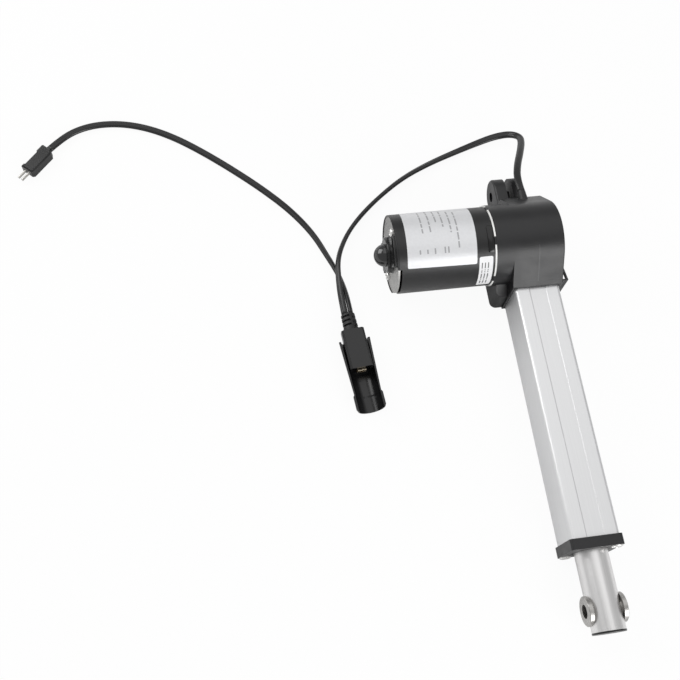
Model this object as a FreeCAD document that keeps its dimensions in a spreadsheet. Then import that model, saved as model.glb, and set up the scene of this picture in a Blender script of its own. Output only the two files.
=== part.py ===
import FreeCAD
import Part
import Sketcher
import math
import os

# Electric linear actuator, millimetres, +Z up, lying on its back.
# The origin is the middle of the rear clevis pin. The spindle runs along -Y, a little to the right of
# the clevis, and the motor runs along -X.

DRIVING = {
    # Rear clevis and gear housing. Each reach is a distance from the clevis pin towards the rod.
    "pin_hole_radius": 4.1,
    "lug_radius": 14.5,
    "lug_span": 25.0,
    "clevis_offset": 2.5,
    "lug_edge": 2.0,
    "slot_width": 5.2,
    "slot_floor_reach": 12.5,
    "housing_top_reach": 14.0,
    "mouth_reach": 96.0,
    "back_drop": 20.0,
    "mouth_rise": 21.5,
    "lip_length": 3.0,
    "lip_rise": 24.0,
    "top_rise": 20.5,
    "housing_right": 21.0,
    "sleeve_left": 20.5,
    "box_left": 30.0,
    "box_corner": 5.0,
    "box_gap": 1.5,
    "box_top_reach": 32.0,
    "box_ledge": 2.0,
    "box_rise": 12.0,
    "motor_reach": 54.8,
    "motor_rise": 17.5,
    "tunnel_radius": 33.0,
    "motor_face": 34.5,
    "worm_bore": 9.0,
    "chamber_radius": 16.0,
    "chamber_reach": 41.5,
    "rear_wall": 6.0,
    "flange_reach": 3.6,
    "flange_length": 1.2,
    "flange_width": 4.8,
    "strut_reach": 72.0,
    "strut_bend_reach": 81.0,
    "strut_bend_width": 3.1,
    "strut_width": 1.3,
    "strut_height": 2.5,
    "housing_edge": 1.2,
    # Motor.
    "ring_radius": 32.8,
    "ring_bore": 24.0,
    "ring_length": 1.3,
    "key_width": 6.5,
    "key_start": 28.5,
    "can_radius": 32.0,
    "can_wall": 2.0,
    "can_end": 112.0,
    "can_lip": 1.2,
    "can_lip_round": 0.7,
    "can_notch": 1.5,
    "can_notch_start": 50.0,
    "can_notch_end": 130.0,
    "front_plate_length": 5.0,
    "magnet_wall": 4.5,
    "magnet_start": 48.0,
    "magnet_length": 52.0,
    "magnet_angle": 130.0,
    "air_gap": 0.9,
    "core_start": 54.0,
    "core_length": 40.0,
    "winding_radius": 20.0,
    "winding_length": 8.0,
    "commutator_start": 103.0,
    "commutator_length": 7.0,
    "commutator_radius": 10.0,
    "brush_length": 7.0,
    "brush_width": 5.0,
    "spring_leaf": 0.5,
    "end_plate_length": 1.5,
    "end_plate_inset": 1.0,
    "bridge_width": 23.0,
    "bridge_length": 3.0,
    "bridge_boss_radius": 14.0,
    "bridge_boss_length": 4.6,
    "bridge_tilt": 22.0,
    "dome_radius": 9.3,
    "end_screw_circle": 24.2,
    "end_screw_tilt": 18.0,
    "end_screw_head": 3.8,
    "end_screw_length": 2.6,
    "end_screw_shank": 2.0,
    "end_screw_depth": 6.0,
    "motor_shaft_radius": 4.0,
    "motor_shaft_tip": 18.5,
    "motor_shaft_end": 116.5,
    "rear_bearing_radius": 8.0,
    "front_bearing_radius": 11.0,
    "worm_radius": 5.3,
    "worm_length": 24.0,
    "end_bush_start": 13.0,
    "end_bush_length": 6.2,
    "end_bush_radius": 7.0,
    "running_gap": 0.05,
    # Spindle and its bearing.
    "spindle_radius": 6.0,
    "spindle_rear": 22.5,
    "spindle_shoulder": 30.0,
    "spindle_end": 303.0,
    "spindle_stud_radius": 5.0,
    "bearing_start": 30.5,
    "bearing_length": 8.0,
    "bearing_radius": 14.0,
    "bearing_plate_length": 2.5,
    "lock_nut_length": 5.5,
    "lock_nut_radius": 9.0,
    "wheel_radius": 11.9,
    "wheel_length": 10.0,
    "wheel_hub_radius": 9.0,
    "wheel_hub_length": 17.0,
    "circlip_radius": 8.5,
    "circlip_length": 1.2,
    "end_ring_length": 5.0,
    "end_ring_radius": 10.2,
    "spindle_screw_depth": 10.0,
    # Tube, rod and nut.
    "tube_width": 37.0,
    "tube_height": 37.6,
    "tube_wall": 2.5,
    "tube_corner": 1.6,
    "port_corner": 7.0,
    "tube_insert": 12.0,
    "tube_end_reach": 297.0,
    "band_width": 14.0,
    "band_depth": 0.4,
    "cap_length": 8.0,
    "cap_overhang": 1.6,
    "cap_corner": 2.5,
    "cap_screw_x": 15.2,
    "cap_screw_z": 15.2,
    "cap_screw_radius": 1.5,
    "cap_screw_depth": 12.0,
    "cap_screw_head": 4.4,
    "cap_screw_head_length": 1.5,
    "rod_radius": 12.5,
    "rod_wall": 2.0,
    "rod_start_reach": 126.0,
    "rod_end_reach": 363.5,
    "wiper_radius": 15.0,
    "wiper_length": 3.5,
    "guide_length": 16.0,
    "nut_reach": 104.0,
    "nut_gap": 0.3,
    "nut_spigot": 14.0,
    "bush_reach": 346.8,
    "bush_hole_radius": 5.05,
    "bush_barrel_radius": 7.0,
    "bush_flange_radius": 10.75,
    "bush_half_length": 14.6,
    "bush_flange_start": 11.3,
    "bush_flange_edge": 0.5,
    "bush_seat_gap": 0.02,
    "board_width": 9.0,
    "board_thickness": 1.2,
    "board_start_reach": 97.5,
    "switch_width": 6.0,
    "switch_length": 4.0,
    "switch_height": 2.1,
    # Leads and connectors.
    "motor_cord_radius": 2.4,
    "plug_cord_radius": 2.5,
    "boot_base_radius": 3.9,
    "boot_tip_radius": 3.0,
    "relief_radius": 6.2,
    "relief_tip_radius": 5.7,
    "relief_length": 15.3,
    "relief_groove": 1.4,
    "relief_ribs": 4,
    "socket_radius": 10.51,
    "socket_width": 18.6,
    "socket_top": 4.6,
    "socket_edge": 1.8,
    "socket_length": 33.5,
    "socket_mouth_width": 14.0,
    "socket_mouth_height": 9.0,
    "socket_mouth_depth": 22.0,
    "shell_radius": 12.8,
    "waist_radius": 11.0,
    "collar_radius": 12.0,
    "shell_wall": 1.8,
    "shell_start": 23.2,
    "shell_waist": 69.0,
    "shell_end": 83.0,
    "contact_width": 7.0,
    "contact_height": 0.9,
    "contact_length": 23.6,
    "plug_width": 12.0,
    "plug_height": 9.0,
    "plug_length": 27.0,
    "plug_chamfer": 2.8,
    "plug_corner": 0.8,
    "plug_front_corner": 1.6,
    "plug_ledge_start": 8.0,
    "plug_ledge_end": 24.0,
    "plug_ledge_width": 2.2,
    "plug_ledge_drop": 3.0,
    "plug_edge": 1.2,
    "pin_radius": 1.1,
    "pin_length": 9.0,
    "pin_spacing": 3.8,
}

SOCKET_TURN = 5.2
SOCKET_PLACE = (-149.4, -91.9, -10.0)
PLUG_PLACE = (-385.1, 92.3, -15.5)
PLUG_TURN = -42.0
BOOT_BASE = (5.9, -21.5, 25.0)
BOOT_TIP = (5.7, -11.0, 25.5)

# Each lead's route, along the lead as it lies.
MOTOR_LEAD = [
    BOOT_TIP,
    (5.1, 2.0, 23.8),
    (10.4, 18.8, 18.0),
    (18.6, 36.0, 9.5),
    (25.6, 52.0, 0.5),
    (27.8, 62.1, -5.5),
    (21.2, 69.3, -11.0),
    (8.0, 70.3, -15.0),
    (-7.9, 67.0, -17.2),
    (-28.2, 60.0, -17.6),
    (-55.0, 50.2, -17.6),
    (-81.3, 37.7, -17.6),
    (-103.9, 21.5, -17.6),
    (-122.9, 5.0, -17.5),
    (-137.0, -11.1, -17.0),
    (-145.8, -27.8, -15.0),
    (-150.9, -43.0, -11.5),
    (-152.3, -58.5, -10.4),
    (-152.6, -75.6, -10.1),
    (-151.5, -92.1, -10.0),
]
PLUG_LEAD = [
    (-146.5, -91.6, -10.0),
    (-147.0, -78.2, -11.3),
    (-148.5, -63.0, -15.4),
    (-151.9, -48.5, -17.2),
    (-158.1, -33.0, -17.5),
    (-167.6, -10.1, -17.5),
    (-184.2, 14.2, -17.5),
    (-205.8, 37.3, -17.5),
    (-230.9, 60.4, -17.5),
    (-255.2, 80.7, -17.5),
    (-276.8, 96.5, -17.5),
    (-298.3, 108.1, -17.5),
    (-319.9, 114.9, -17.5),
    (-341.0, 116.4, -17.5),
    (-359.0, 112.6, -17.2),
    (-373.4, 104.0, -16.3),
    PLUG_PLACE,
]

doc = FreeCAD.newDocument("linear_actuator")
sheet = doc.addObject("Spreadsheet::Sheet", "Dims")
for row, (alias, number) in enumerate(DRIVING.items(), start=1):
    sheet.set(f"A{row}", alias)
    sheet.set(f"B{row}", str(number))
    sheet.setAlias(f"B{row}", alias)
doc.recompute()


class Dim:
    """A size that is a number and also the sheet formula that it comes from."""

    def __init__(self, value, text):
        self.value = float(value)
        self.text = text

    def __add__(self, other):
        other = as_dim(other)
        return Dim(self.value + other.value, f"({self.text} + {other.text})")

    def __sub__(self, other):
        other = as_dim(other)
        return Dim(self.value - other.value, f"({self.text} - {other.text})")

    def __rsub__(self, other):
        return as_dim(other) - self

    def __mul__(self, other):
        other = as_dim(other)
        return Dim(self.value * other.value, f"({self.text} * {other.text})")

    def __truediv__(self, other):
        other = as_dim(other)
        return Dim(self.value / other.value, f"({self.text} / {other.text})")

    def __neg__(self):
        return Dim(-self.value, f"(0 - {self.text})")

    __radd__ = __add__
    __rmul__ = __mul__


def as_dim(item):
    if isinstance(item, Dim):
        return item
    return Dim(item, f"({float(item)})")


class Sizes:
    """The sheet's cells, each read as a Dim by its alias."""

    def __getattr__(self, alias):
        return Dim(getattr(sheet, alias), f"Dims.{alias}")


d = Sizes()
V = FreeCAD.Vector
subparts = []

UPRIGHT = FreeCAD.Rotation()
TO_ROD = FreeCAD.Rotation(V(1, 0, 0), 90)
TO_MOTOR = FreeCAD.Rotation(V(0, 1, 0), -90)
TO_RIGHT = FreeCAD.Rotation(V(0, 1, 0), 90)
SPINDLE_AXIS = (d.clevis_offset, 0, 0)
MOTOR_AXIS = (d.clevis_offset, -d.motor_reach, d.motor_rise)
KEY_START = 50
KEY_COUNT = 6
CAP_SCREW_CORNERS = [(-1, -1), (1, 1)]


def keep(item):
    """Lists a finished sub-part, whose label names its file."""
    item.Label = item.Name
    subparts.append(item)
    return item


def bind(item, name, size):
    item.setExpression(name, as_dim(size).text)


def place(item, base, rotation=UPRIGHT):
    item.Placement = FreeCAD.Placement(V(0, 0, 0), rotation)
    for axis, size in zip("xyz", base):
        bind(item, f"Placement.Base.{axis}", size)
    return item


def new_body(name, base=SPINDLE_AXIS, rotation=UPRIGHT):
    return place(doc.addObject("PartDesign::Body", name), base, rotation)


def sketch_on(body, role, offset=0):
    sketch = body.newObject("Sketcher::SketchObject", body.Name + "_sketch")
    plane = next(item for item in body.Origin.OriginFeatures if item.Role == role)
    sketch.AttachmentSupport = [(plane, "")]
    sketch.MapMode = "FlatFace"
    bind(sketch, "AttachmentOffset.Base.z", offset)
    return sketch


def fix_point(sketch, geometry, point, u, v):
    """Ties one point of a sketch to its two coordinates."""
    for kind, size in (("DistanceX", as_dim(u)), ("DistanceY", as_dim(v))):
        index = sketch.addConstraint(Sketcher.Constraint(kind, -1, 1, geometry, point, size.value))
        sketch.setExpression(f"Constraints[{index}]", size.text)


def outline(sketch, points):
    """Adds a closed outline of straight edges."""
    flat = [V(as_dim(u).value, as_dim(v).value, 0) for u, v in points]
    edges = [Part.LineSegment(a, b) for a, b in zip(flat, flat[1:] + flat[:1])]
    first = sketch.addGeometry(edges[0], False)
    for edge in edges[1:]:
        sketch.addGeometry(edge, False)
    for index, (u, v) in enumerate(points):
        following = first + (index + 1) % len(points)
        sketch.addConstraint(Sketcher.Constraint("Coincident", first + index, 2, following, 1))
        fix_point(sketch, first + index, 1, u, v)


def rectangle(sketch, low_u, low_v, high_u, high_v):
    outline(sketch, [(low_u, low_v), (high_u, low_v), (high_u, high_v), (low_u, high_v)])


def circle(sketch, u, v, radius):
    radius = as_dim(radius)
    shape = Part.Circle(V(as_dim(u).value, as_dim(v).value, 0), V(0, 0, 1), radius.value)
    index = sketch.addGeometry(shape, False)
    fix_point(sketch, index, 3, u, v)
    constraint = sketch.addConstraint(Sketcher.Constraint("Radius", index, radius.value))
    sketch.setExpression(f"Constraints[{constraint}]", radius.text)


def pad(body, sketch, length):
    feature = body.newObject("PartDesign::Pad", body.Name + "_pad")
    feature.Profile = sketch
    bind(feature, "Length", length)
    return feature


def pocket(body, sketch, length):
    """Cuts along the sketch's own normal, the way that a pad would grow."""
    feature = body.newObject("PartDesign::Pocket", body.Name + "_pocket")
    feature.Profile = sketch
    feature.Reversed = True
    bind(feature, "Length", length)
    return feature


def round_edges(body, radius, wanted, kind="Fillet", size="Radius"):
    """Rounds the edges of the body so far that the test picks out."""
    doc.recompute()
    tip = body.Tip
    names = [f"Edge{index}" for index, edge in enumerate(tip.Shape.Edges, start=1) if wanted(edge)]
    feature = body.newObject("PartDesign::" + kind, f"{body.Name}_{kind.lower()}")
    feature.Base = (tip, names)
    bind(feature, size, radius)
    return feature


def runs_along(edge, direction):
    """True for a straight edge that lies along a direction."""
    if edge.Curve.TypeId != "Part::GeomLine":
        return False
    return abs(abs(edge.tangentAt(edge.FirstParameter).dot(direction)) - 1) < 1e-6


def turned(name, profile, base=SPINDLE_AXIS, rotation=UPRIGHT, angle=360):
    """A turned piece: an outline of radius and height, spun about its own upright axis."""
    body = new_body(name, base, rotation)
    sketch = sketch_on(body, "XZ_Plane")
    outline(sketch, profile)
    feature = body.newObject("PartDesign::Revolution", name + "_turn")
    feature.Profile = sketch
    feature.ReferenceAxis = (sketch, ["V_Axis"])
    feature.Angle = angle
    return body


def ring(name, inner, outer, start, length, base=SPINDLE_AXIS, rotation=UPRIGHT):
    low = as_dim(start)
    high = low + length
    return turned(name, [(inner, low), (outer, low), (outer, high), (inner, high)], base, rotation)


def block(name, size, base, rotation=UPRIGHT):
    item = place(doc.addObject("Part::Box", name), base, rotation)
    for edge, length in zip(("Length", "Width", "Height"), size):
        bind(item, edge, length)
    return item


def bar(name, radius, length, base, rotation=UPRIGHT):
    item = place(doc.addObject("Part::Cylinder", name), base, rotation)
    bind(item, "Radius", radius)
    bind(item, "Height", length)
    return item


def cut(name, base, tools):
    item = doc.addObject("Part::Cut", name)
    item.Base = base
    item.Tool = tools[0] if len(tools) == 1 else fuse(name + "_tools", tools)
    return item


def fuse(name, members):
    item = doc.addObject("Part::MultiFuse", name)
    item.Shapes = members
    return item


def group(name, members):
    item = doc.addObject("Part::Compound", name)
    item.Links = members
    return item


def pan_screw(name, head_radius, head_length, shank_radius, shank_length, base, rotation):
    """A pan-head screw whose head stands up from its base point and whose shank runs down from it."""
    profile = [
        (0, -as_dim(shank_length)),
        (shank_radius, -as_dim(shank_length)),
        (shank_radius, 0),
        (head_radius, 0),
        (head_radius, head_length * 0.55),
        (head_radius * 0.7, head_length),
        (0, head_length),
    ]
    return turned(name, profile, base, rotation)


def tangent_point(center, radius, point, side):
    """Where a line from a point touches a circle, on the chosen side."""
    reach = point - center
    swing = side * math.acos(radius / reach.Length)
    heading = math.atan2(reach.y, reach.x) + swing
    return center + V(radius * math.cos(heading), radius * math.sin(heading), 0)


def housing_side_outline(sketch):
    """The housing seen from its side: lip, two slopes tangent to the worm tunnel, top and back."""
    corners = [
        (-d.housing_top_reach, d.top_rise),
        (-d.housing_top_reach, -d.back_drop),
        (-d.mouth_reach, -d.back_drop),
        (-d.mouth_reach, d.mouth_rise),
        (d.lip_length - d.mouth_reach, d.lip_rise),
    ]
    flat = [V(u.value, v.value, 0) for u, v in corners]
    axis = V(-d.motor_reach.value, d.motor_rise.value, 0)
    radius = d.tunnel_radius
    low_touch = tangent_point(axis, radius.value, flat[4], -1)
    high_touch = tangent_point(axis, radius.value, flat[0], 1)
    crown = axis + V(0, radius.value, 0)
    for a, b in zip(flat, flat[1:]):
        sketch.addGeometry(Part.LineSegment(a, b), False)
    low_slope = sketch.addGeometry(Part.LineSegment(flat[4], low_touch), False)
    tunnel = sketch.addGeometry(Part.Arc(high_touch, crown, low_touch), False)
    high_slope = sketch.addGeometry(Part.LineSegment(high_touch, flat[0]), False)
    for index in range(4):
        sketch.addConstraint(Sketcher.Constraint("Coincident", index, 2, index + 1, 1))
    sketch.addConstraint(Sketcher.Constraint("Coincident", high_slope, 2, 0, 1))
    sketch.addConstraint(Sketcher.Constraint("Tangent", high_slope, 1, tunnel, 1))
    sketch.addConstraint(Sketcher.Constraint("Tangent", low_slope, 2, tunnel, 2))
    for index, (u, v) in enumerate(corners):
        fix_point(sketch, index, 1, u, v)
    fix_point(sketch, tunnel, 3, -d.motor_reach, d.motor_rise)
    constraint = sketch.addConstraint(Sketcher.Constraint("Radius", tunnel, radius.value))
    sketch.setExpression(f"Constraints[{constraint}]", radius.text)


def gear_housing():
    """The moulded housing: worm tunnel, gear box, tube sleeve and the two clevis lugs."""
    body = new_body("gear_housing")
    sketch = sketch_on(body, "YZ_Plane", -d.sleeve_left)
    housing_side_outline(sketch)
    pad(body, sketch, d.sleeve_left + d.housing_right)
    right_x = d.housing_right.value
    round_edges(body, d.housing_edge, lambda edge: abs(edge.BoundBox.XMin - right_x) < 1e-6)
    lug_left = -d.clevis_offset - d.lug_span / 2
    shoulder = sketch_on(body, "YZ_Plane", -d.sleeve_left)
    rectangle(shoulder, -d.box_top_reach, -d.back_drop - 1, 0, d.tunnel_radius * 2)
    pocket(body, shoulder, d.sleeve_left + lug_left)

    tunnel = sketch_on(body, "YZ_Plane", -d.motor_face)
    circle(tunnel, -d.motor_reach, d.motor_rise, d.tunnel_radius)
    pad(body, tunnel, d.motor_face - d.sleeve_left + 1)

    side_box = sketch_on(body, "YZ_Plane", -d.box_left)
    box_end = d.box_gap - d.mouth_reach
    outline(side_box, [
        (box_end, -d.back_drop),
        (box_end, d.box_ledge),
        (box_end + d.box_rise - d.box_ledge, d.box_rise),
        (-d.box_top_reach, d.box_rise),
        (-d.box_top_reach, -d.back_drop),
    ])
    pad(body, side_box, d.box_left - d.sleeve_left)
    left_x = -d.box_left.value

    def is_box_corner(edge):
        return runs_along(edge, V(0, 0, 1)) and abs(edge.CenterOfMass.x - left_x) < 1e-6

    round_edges(body, d.box_corner, is_box_corner)

    lugs = sketch_on(body, "YZ_Plane", lug_left)
    circle(lugs, 0, 0, d.lug_radius)
    pad(body, lugs, d.lug_span)
    roots = sketch_on(body, "YZ_Plane", lug_left)
    rectangle(roots, -d.housing_top_reach - 1, -d.lug_radius, 0, d.lug_radius)
    pad(body, roots, d.lug_span)
    lug_faces = (lug_left.value, lug_left.value + d.lug_span.value)

    def is_lug_rim(edge):
        box = edge.BoundBox
        on_face = box.XLength < 1e-6 and min(abs(box.XMin - face) for face in lug_faces) < 1e-6
        past_top = box.YMin > -d.housing_top_reach.value - 1e-3
        return on_face and past_top and box.YMax > 1e-3 - d.lug_radius.value

    round_edges(body, d.lug_edge, is_lug_rim)
    slot = sketch_on(body, "YZ_Plane", -d.clevis_offset - d.slot_width / 2)
    rectangle(slot, -d.slot_floor_reach, -d.lug_radius - 1, d.lug_radius + 1, d.lug_radius + 1)
    pocket(body, slot, d.slot_width)
    pin_hole = sketch_on(body, "YZ_Plane", lug_left - 1)
    circle(pin_hole, 0, 0, d.pin_hole_radius)
    pocket(body, pin_hole, d.lug_span + 2)

    sleeve = sketch_on(body, "XZ_Plane", d.mouth_reach - d.tube_insert)
    rectangle(sleeve, -d.tube_width / 2, -d.tube_height / 2, d.tube_width / 2, d.tube_height / 2)
    pocket(body, sleeve, d.tube_insert)
    chamber = sketch_on(body, "XZ_Plane", d.bearing_start + d.bearing_length)
    circle(chamber, 0, 0, d.chamber_radius)
    pocket(body, chamber, d.mouth_reach - d.tube_insert - d.bearing_start - d.bearing_length)
    bearing_seat = sketch_on(body, "XZ_Plane", d.bearing_start)
    circle(bearing_seat, 0, 0, d.bearing_radius)
    pocket(body, bearing_seat, d.bearing_length)
    nut_room = sketch_on(body, "XZ_Plane", d.housing_top_reach + d.rear_wall)
    circle(nut_room, 0, 0, d.lock_nut_radius + 1)
    pocket(body, nut_room, d.bearing_start - d.housing_top_reach - d.rear_wall)
    worm_bore = sketch_on(body, "YZ_Plane", -d.motor_face)
    circle(worm_bore, -d.motor_reach, d.motor_rise, d.worm_bore)
    pocket(body, worm_bore, d.motor_face + d.end_bush_start)
    bush_seat = sketch_on(body, "YZ_Plane", d.end_bush_start)
    circle(bush_seat, -d.motor_reach, d.motor_rise, d.end_bush_radius)
    pocket(body, bush_seat, d.end_bush_length)

    flange = sketch_on(body, "XZ_Plane", d.mouth_reach - d.flange_reach)
    right = d.housing_right
    rectangle(flange, right - 1, -d.back_drop / 2, right + d.flange_width, d.mouth_rise)
    pad(body, flange, d.flange_length)
    strut = sketch_on(body, "XY_Plane", d.mouth_rise - d.strut_height)
    strut_foot = d.flange_reach - d.mouth_reach - d.flange_length / 2
    outline(strut, [
        (right - 0.5, -d.strut_reach),
        (right + d.strut_bend_width, -d.strut_bend_reach),
        (right + d.flange_width, strut_foot),
        (right + d.flange_width - d.strut_width, strut_foot),
        (right + d.strut_bend_width - d.strut_width, -d.strut_bend_reach - 1),
        (right - 0.5, -d.strut_reach - 2 * d.strut_width),
    ])
    pad(body, strut, d.strut_height)

    for index in range(KEY_COUNT):
        angle = math.radians(KEY_START + index * 360 / KEY_COUNT)
        key = sketch_on(body, "YZ_Plane", -d.motor_face - d.ring_length)
        key_outline(key, angle, d.key_start, d.ring_radius)
        pad(body, key, d.ring_length)
    return keep(body)


def key_outline(sketch, angle, inner, outer):
    """A key that stands across the motor ring at an angle about the motor's axis."""
    half = d.key_width / 2
    out_u = math.cos(angle)
    out_v = math.sin(angle)
    corners = []
    for reach, side in ((inner, -1), (outer, -1), (outer, 1), (inner, 1)):
        u = reach * out_u - half * (side * out_v) - d.motor_reach
        v = reach * out_v + half * (side * out_u) + d.motor_rise
        corners.append((u, v))
    outline(sketch, corners)


def adapter_ring():
    """The white ring between motor and housing, notched for the housing's four keys."""
    body = new_body("adapter_ring")
    sketch = sketch_on(body, "YZ_Plane", -d.motor_face - d.ring_length)
    circle(sketch, -d.motor_reach, d.motor_rise, d.ring_radius)
    circle(sketch, -d.motor_reach, d.motor_rise, d.ring_bore)
    pad(body, sketch, d.ring_length)
    for index in range(KEY_COUNT):
        angle = math.radians(KEY_START + index * 360 / KEY_COUNT)
        notch = sketch_on(body, "YZ_Plane", -d.motor_face - d.ring_length)
        key_outline(notch, angle, d.key_start, d.ring_radius + 1)
        pocket(body, notch, d.ring_length)
    return keep(body)


def outer_tube():
    """The square extrusion, thick at its inner corners where the cap's screws bite."""
    body = new_body("outer_tube")
    start = d.mouth_reach - d.tube_insert
    length = d.tube_end_reach - start
    half_x = d.tube_width / 2
    half_z = d.tube_height / 2
    sketch = sketch_on(body, "XZ_Plane", start)
    rectangle(sketch, -half_x, -half_z, half_x, half_z)
    pad(body, sketch, length)
    round_edges(body, d.tube_corner, lambda edge: runs_along(edge, V(0, 1, 0)))
    bore = sketch_on(body, "XZ_Plane", start)
    rectangle(bore, d.tube_wall - half_x, d.tube_wall - half_z, half_x - d.tube_wall, half_z - d.tube_wall)
    pocket(body, bore, length)
    inner_x = half_x.value - d.tube_wall.value

    def is_bore_corner(edge):
        return runs_along(edge, V(0, 1, 0)) and abs(abs(edge.CenterOfMass.x) - inner_x) < 1e-6

    round_edges(body, d.port_corner, is_bore_corner)
    for side in (-1, 1):
        band = sketch_on(body, "XZ_Plane", start)
        rectangle(band, -d.band_width / 2, side * half_z, d.band_width / 2, side * (half_z - d.band_depth))
        pocket(body, band, length)
    ports = sketch_on(body, "XZ_Plane", d.tube_end_reach - d.cap_screw_depth)
    for side_x, side_z in CAP_SCREW_CORNERS:
        circle(ports, side_x * d.cap_screw_x, side_z * d.cap_screw_z, d.cap_screw_radius)
    pocket(body, ports, d.cap_screw_depth)
    return keep(body)


def tube_end_cap():
    """The moulded cap over the tube's end, with a seat for the wiper round the rod."""
    body = new_body("tube_end_cap")
    half_x = d.tube_width / 2 + d.cap_overhang
    sketch = sketch_on(body, "XZ_Plane", d.tube_end_reach)
    rectangle(sketch, -half_x, -d.back_drop, half_x, d.back_drop)
    pad(body, sketch, d.cap_length)
    round_edges(body, d.cap_corner, lambda edge: runs_along(edge, V(0, 1, 0)))
    rod_hole = sketch_on(body, "XZ_Plane", d.tube_end_reach)
    circle(rod_hole, 0, 0, d.rod_radius + 0.4)
    for side_x, side_z in CAP_SCREW_CORNERS:
        circle(rod_hole, side_x * d.cap_screw_x, side_z * d.cap_screw_z, d.cap_screw_radius)
    pocket(body, rod_hole, d.cap_length)
    seat = sketch_on(body, "XZ_Plane", d.tube_end_reach + d.cap_length - d.wiper_length)
    circle(seat, 0, 0, d.wiper_radius)
    pocket(body, seat, d.wiper_length)
    return keep(body)


def end_cap_screws():
    """The two screws, across a diagonal, that hold the end cap on the tube."""
    face = d.tube_end_reach + d.cap_length
    members = []
    for index, (side_x, side_z) in enumerate(CAP_SCREW_CORNERS):
        base = (d.clevis_offset + side_x * d.cap_screw_x, -face, side_z * d.cap_screw_z)
        length = d.cap_length + d.cap_screw_depth
        name = f"end_cap_screw_{index}"
        head = (d.cap_screw_head, d.cap_screw_head_length)
        members.append(pan_screw(name, *head, d.cap_screw_radius, length, base, TO_ROD))
    return keep(group("end_cap_screws", members))


def rod_parts():
    """The rod, its cross bush, the drive nut inside the tube, and the rod's guide and wiper."""
    rod = ring("rod_tube", d.rod_radius - d.rod_wall, d.rod_radius, d.rod_start_reach,
               d.rod_end_reach - d.rod_start_reach, SPINDLE_AXIS, TO_ROD)
    cross = sketch_on(rod, "YZ_Plane", -d.rod_radius - 1)
    circle(cross, 0, d.bush_reach, d.bush_barrel_radius)
    pocket(rod, cross, d.rod_radius * 2 + 2)
    for start in (-d.rod_radius - 1, d.bush_flange_start):
        seat = sketch_on(rod, "YZ_Plane", start)
        circle(seat, 0, d.bush_reach, d.bush_flange_radius + d.bush_seat_gap)
        pocket(rod, seat, d.rod_radius + 1 - d.bush_flange_start)
    keep(rod)

    rod_bush()

    nut = new_body("drive_nut")
    half_x = d.tube_width / 2 - d.tube_wall - d.nut_gap
    half_z = d.tube_height / 2 - d.tube_wall - d.nut_gap
    sketch = sketch_on(nut, "XZ_Plane", d.nut_reach)
    rectangle(sketch, -half_x, -half_z, half_x, half_z)
    pad(nut, sketch, d.rod_start_reach - d.nut_reach)
    round_edges(nut, d.port_corner, lambda edge: runs_along(edge, V(0, 1, 0)))
    spigot = sketch_on(nut, "XZ_Plane", d.rod_start_reach)
    circle(spigot, 0, 0, d.rod_radius - d.rod_wall)
    pad(nut, spigot, d.nut_spigot)
    thread = sketch_on(nut, "XZ_Plane", d.nut_reach)
    circle(thread, 0, 0, d.spindle_radius + 0.1)
    pocket(nut, thread, d.rod_start_reach - d.nut_reach + d.nut_spigot)
    groove = sketch_on(nut, "XZ_Plane", d.nut_reach)
    switch_top = d.board_thickness + d.switch_height + d.nut_gap * 2 - half_z
    rectangle(groove, -d.board_width / 2 - 1, -half_z - 1, d.board_width / 2 + 1, switch_top)
    pocket(nut, groove, d.rod_start_reach - d.nut_reach)
    keep(nut)

    guide = new_body("rod_guide_bush")
    inner_x = d.tube_width / 2 - d.tube_wall
    inner_z = d.tube_height / 2 - d.tube_wall
    sketch = sketch_on(guide, "XZ_Plane", d.tube_end_reach - d.guide_length)
    rectangle(sketch, -inner_x, -inner_z, inner_x, inner_z)
    pad(guide, sketch, d.guide_length)
    round_edges(guide, d.port_corner, lambda edge: runs_along(edge, V(0, 1, 0)))
    hole = sketch_on(guide, "XZ_Plane", d.tube_end_reach - d.guide_length)
    circle(hole, 0, 0, d.rod_radius + d.running_gap)
    pocket(guide, hole, d.guide_length)
    keep(guide)

    face = d.tube_end_reach + d.cap_length
    keep(ring("rod_wiper", d.rod_radius + d.running_gap, d.wiper_radius, face - d.wiper_length,
              d.wiper_length, SPINDLE_AXIS, TO_ROD))


def rod_bush():
    """The cross bush: a barrel through the rod, with a thick flange let into each side of the rod."""
    root = d.bush_flange_start
    face = d.bush_half_length
    radius = d.bush_flange_radius
    edge = d.bush_flange_edge
    half = [
        (d.bush_barrel_radius, root),
        (radius, root),
        (radius, face - edge),
        (radius - edge, face),
        (d.bush_hole_radius, face),
    ]
    profile = half + [(reach, -height) for reach, height in reversed(half)]
    return keep(turned("rod_bush", profile, (d.clevis_offset, -d.bush_reach, 0), TO_RIGHT))


def limit_switches():
    """The board along the tube's back wall and the switch at each end of the nut's travel."""
    floor = d.tube_wall - d.tube_height / 2
    far_end = d.tube_end_reach - d.guide_length
    length = far_end - d.board_start_reach
    board = block("limit_switch_board", (d.board_width, length, d.board_thickness),
                  (d.clevis_offset - d.board_width / 2, -far_end, floor))
    keep(board)
    near_start = d.nut_reach - d.switch_length - 1
    far_start = far_end - d.switch_length - d.nut_gap
    members = []
    for index, reach in enumerate((near_start, far_start)):
        across = d.clevis_offset - d.switch_width / 2
        base = (across, -reach - d.switch_length, floor + d.board_thickness)
        size = (d.switch_width, d.switch_length, d.switch_height)
        members.append(block(f"limit_switch_{index}", size, base))
    keep(group("limit_switches", members))


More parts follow.
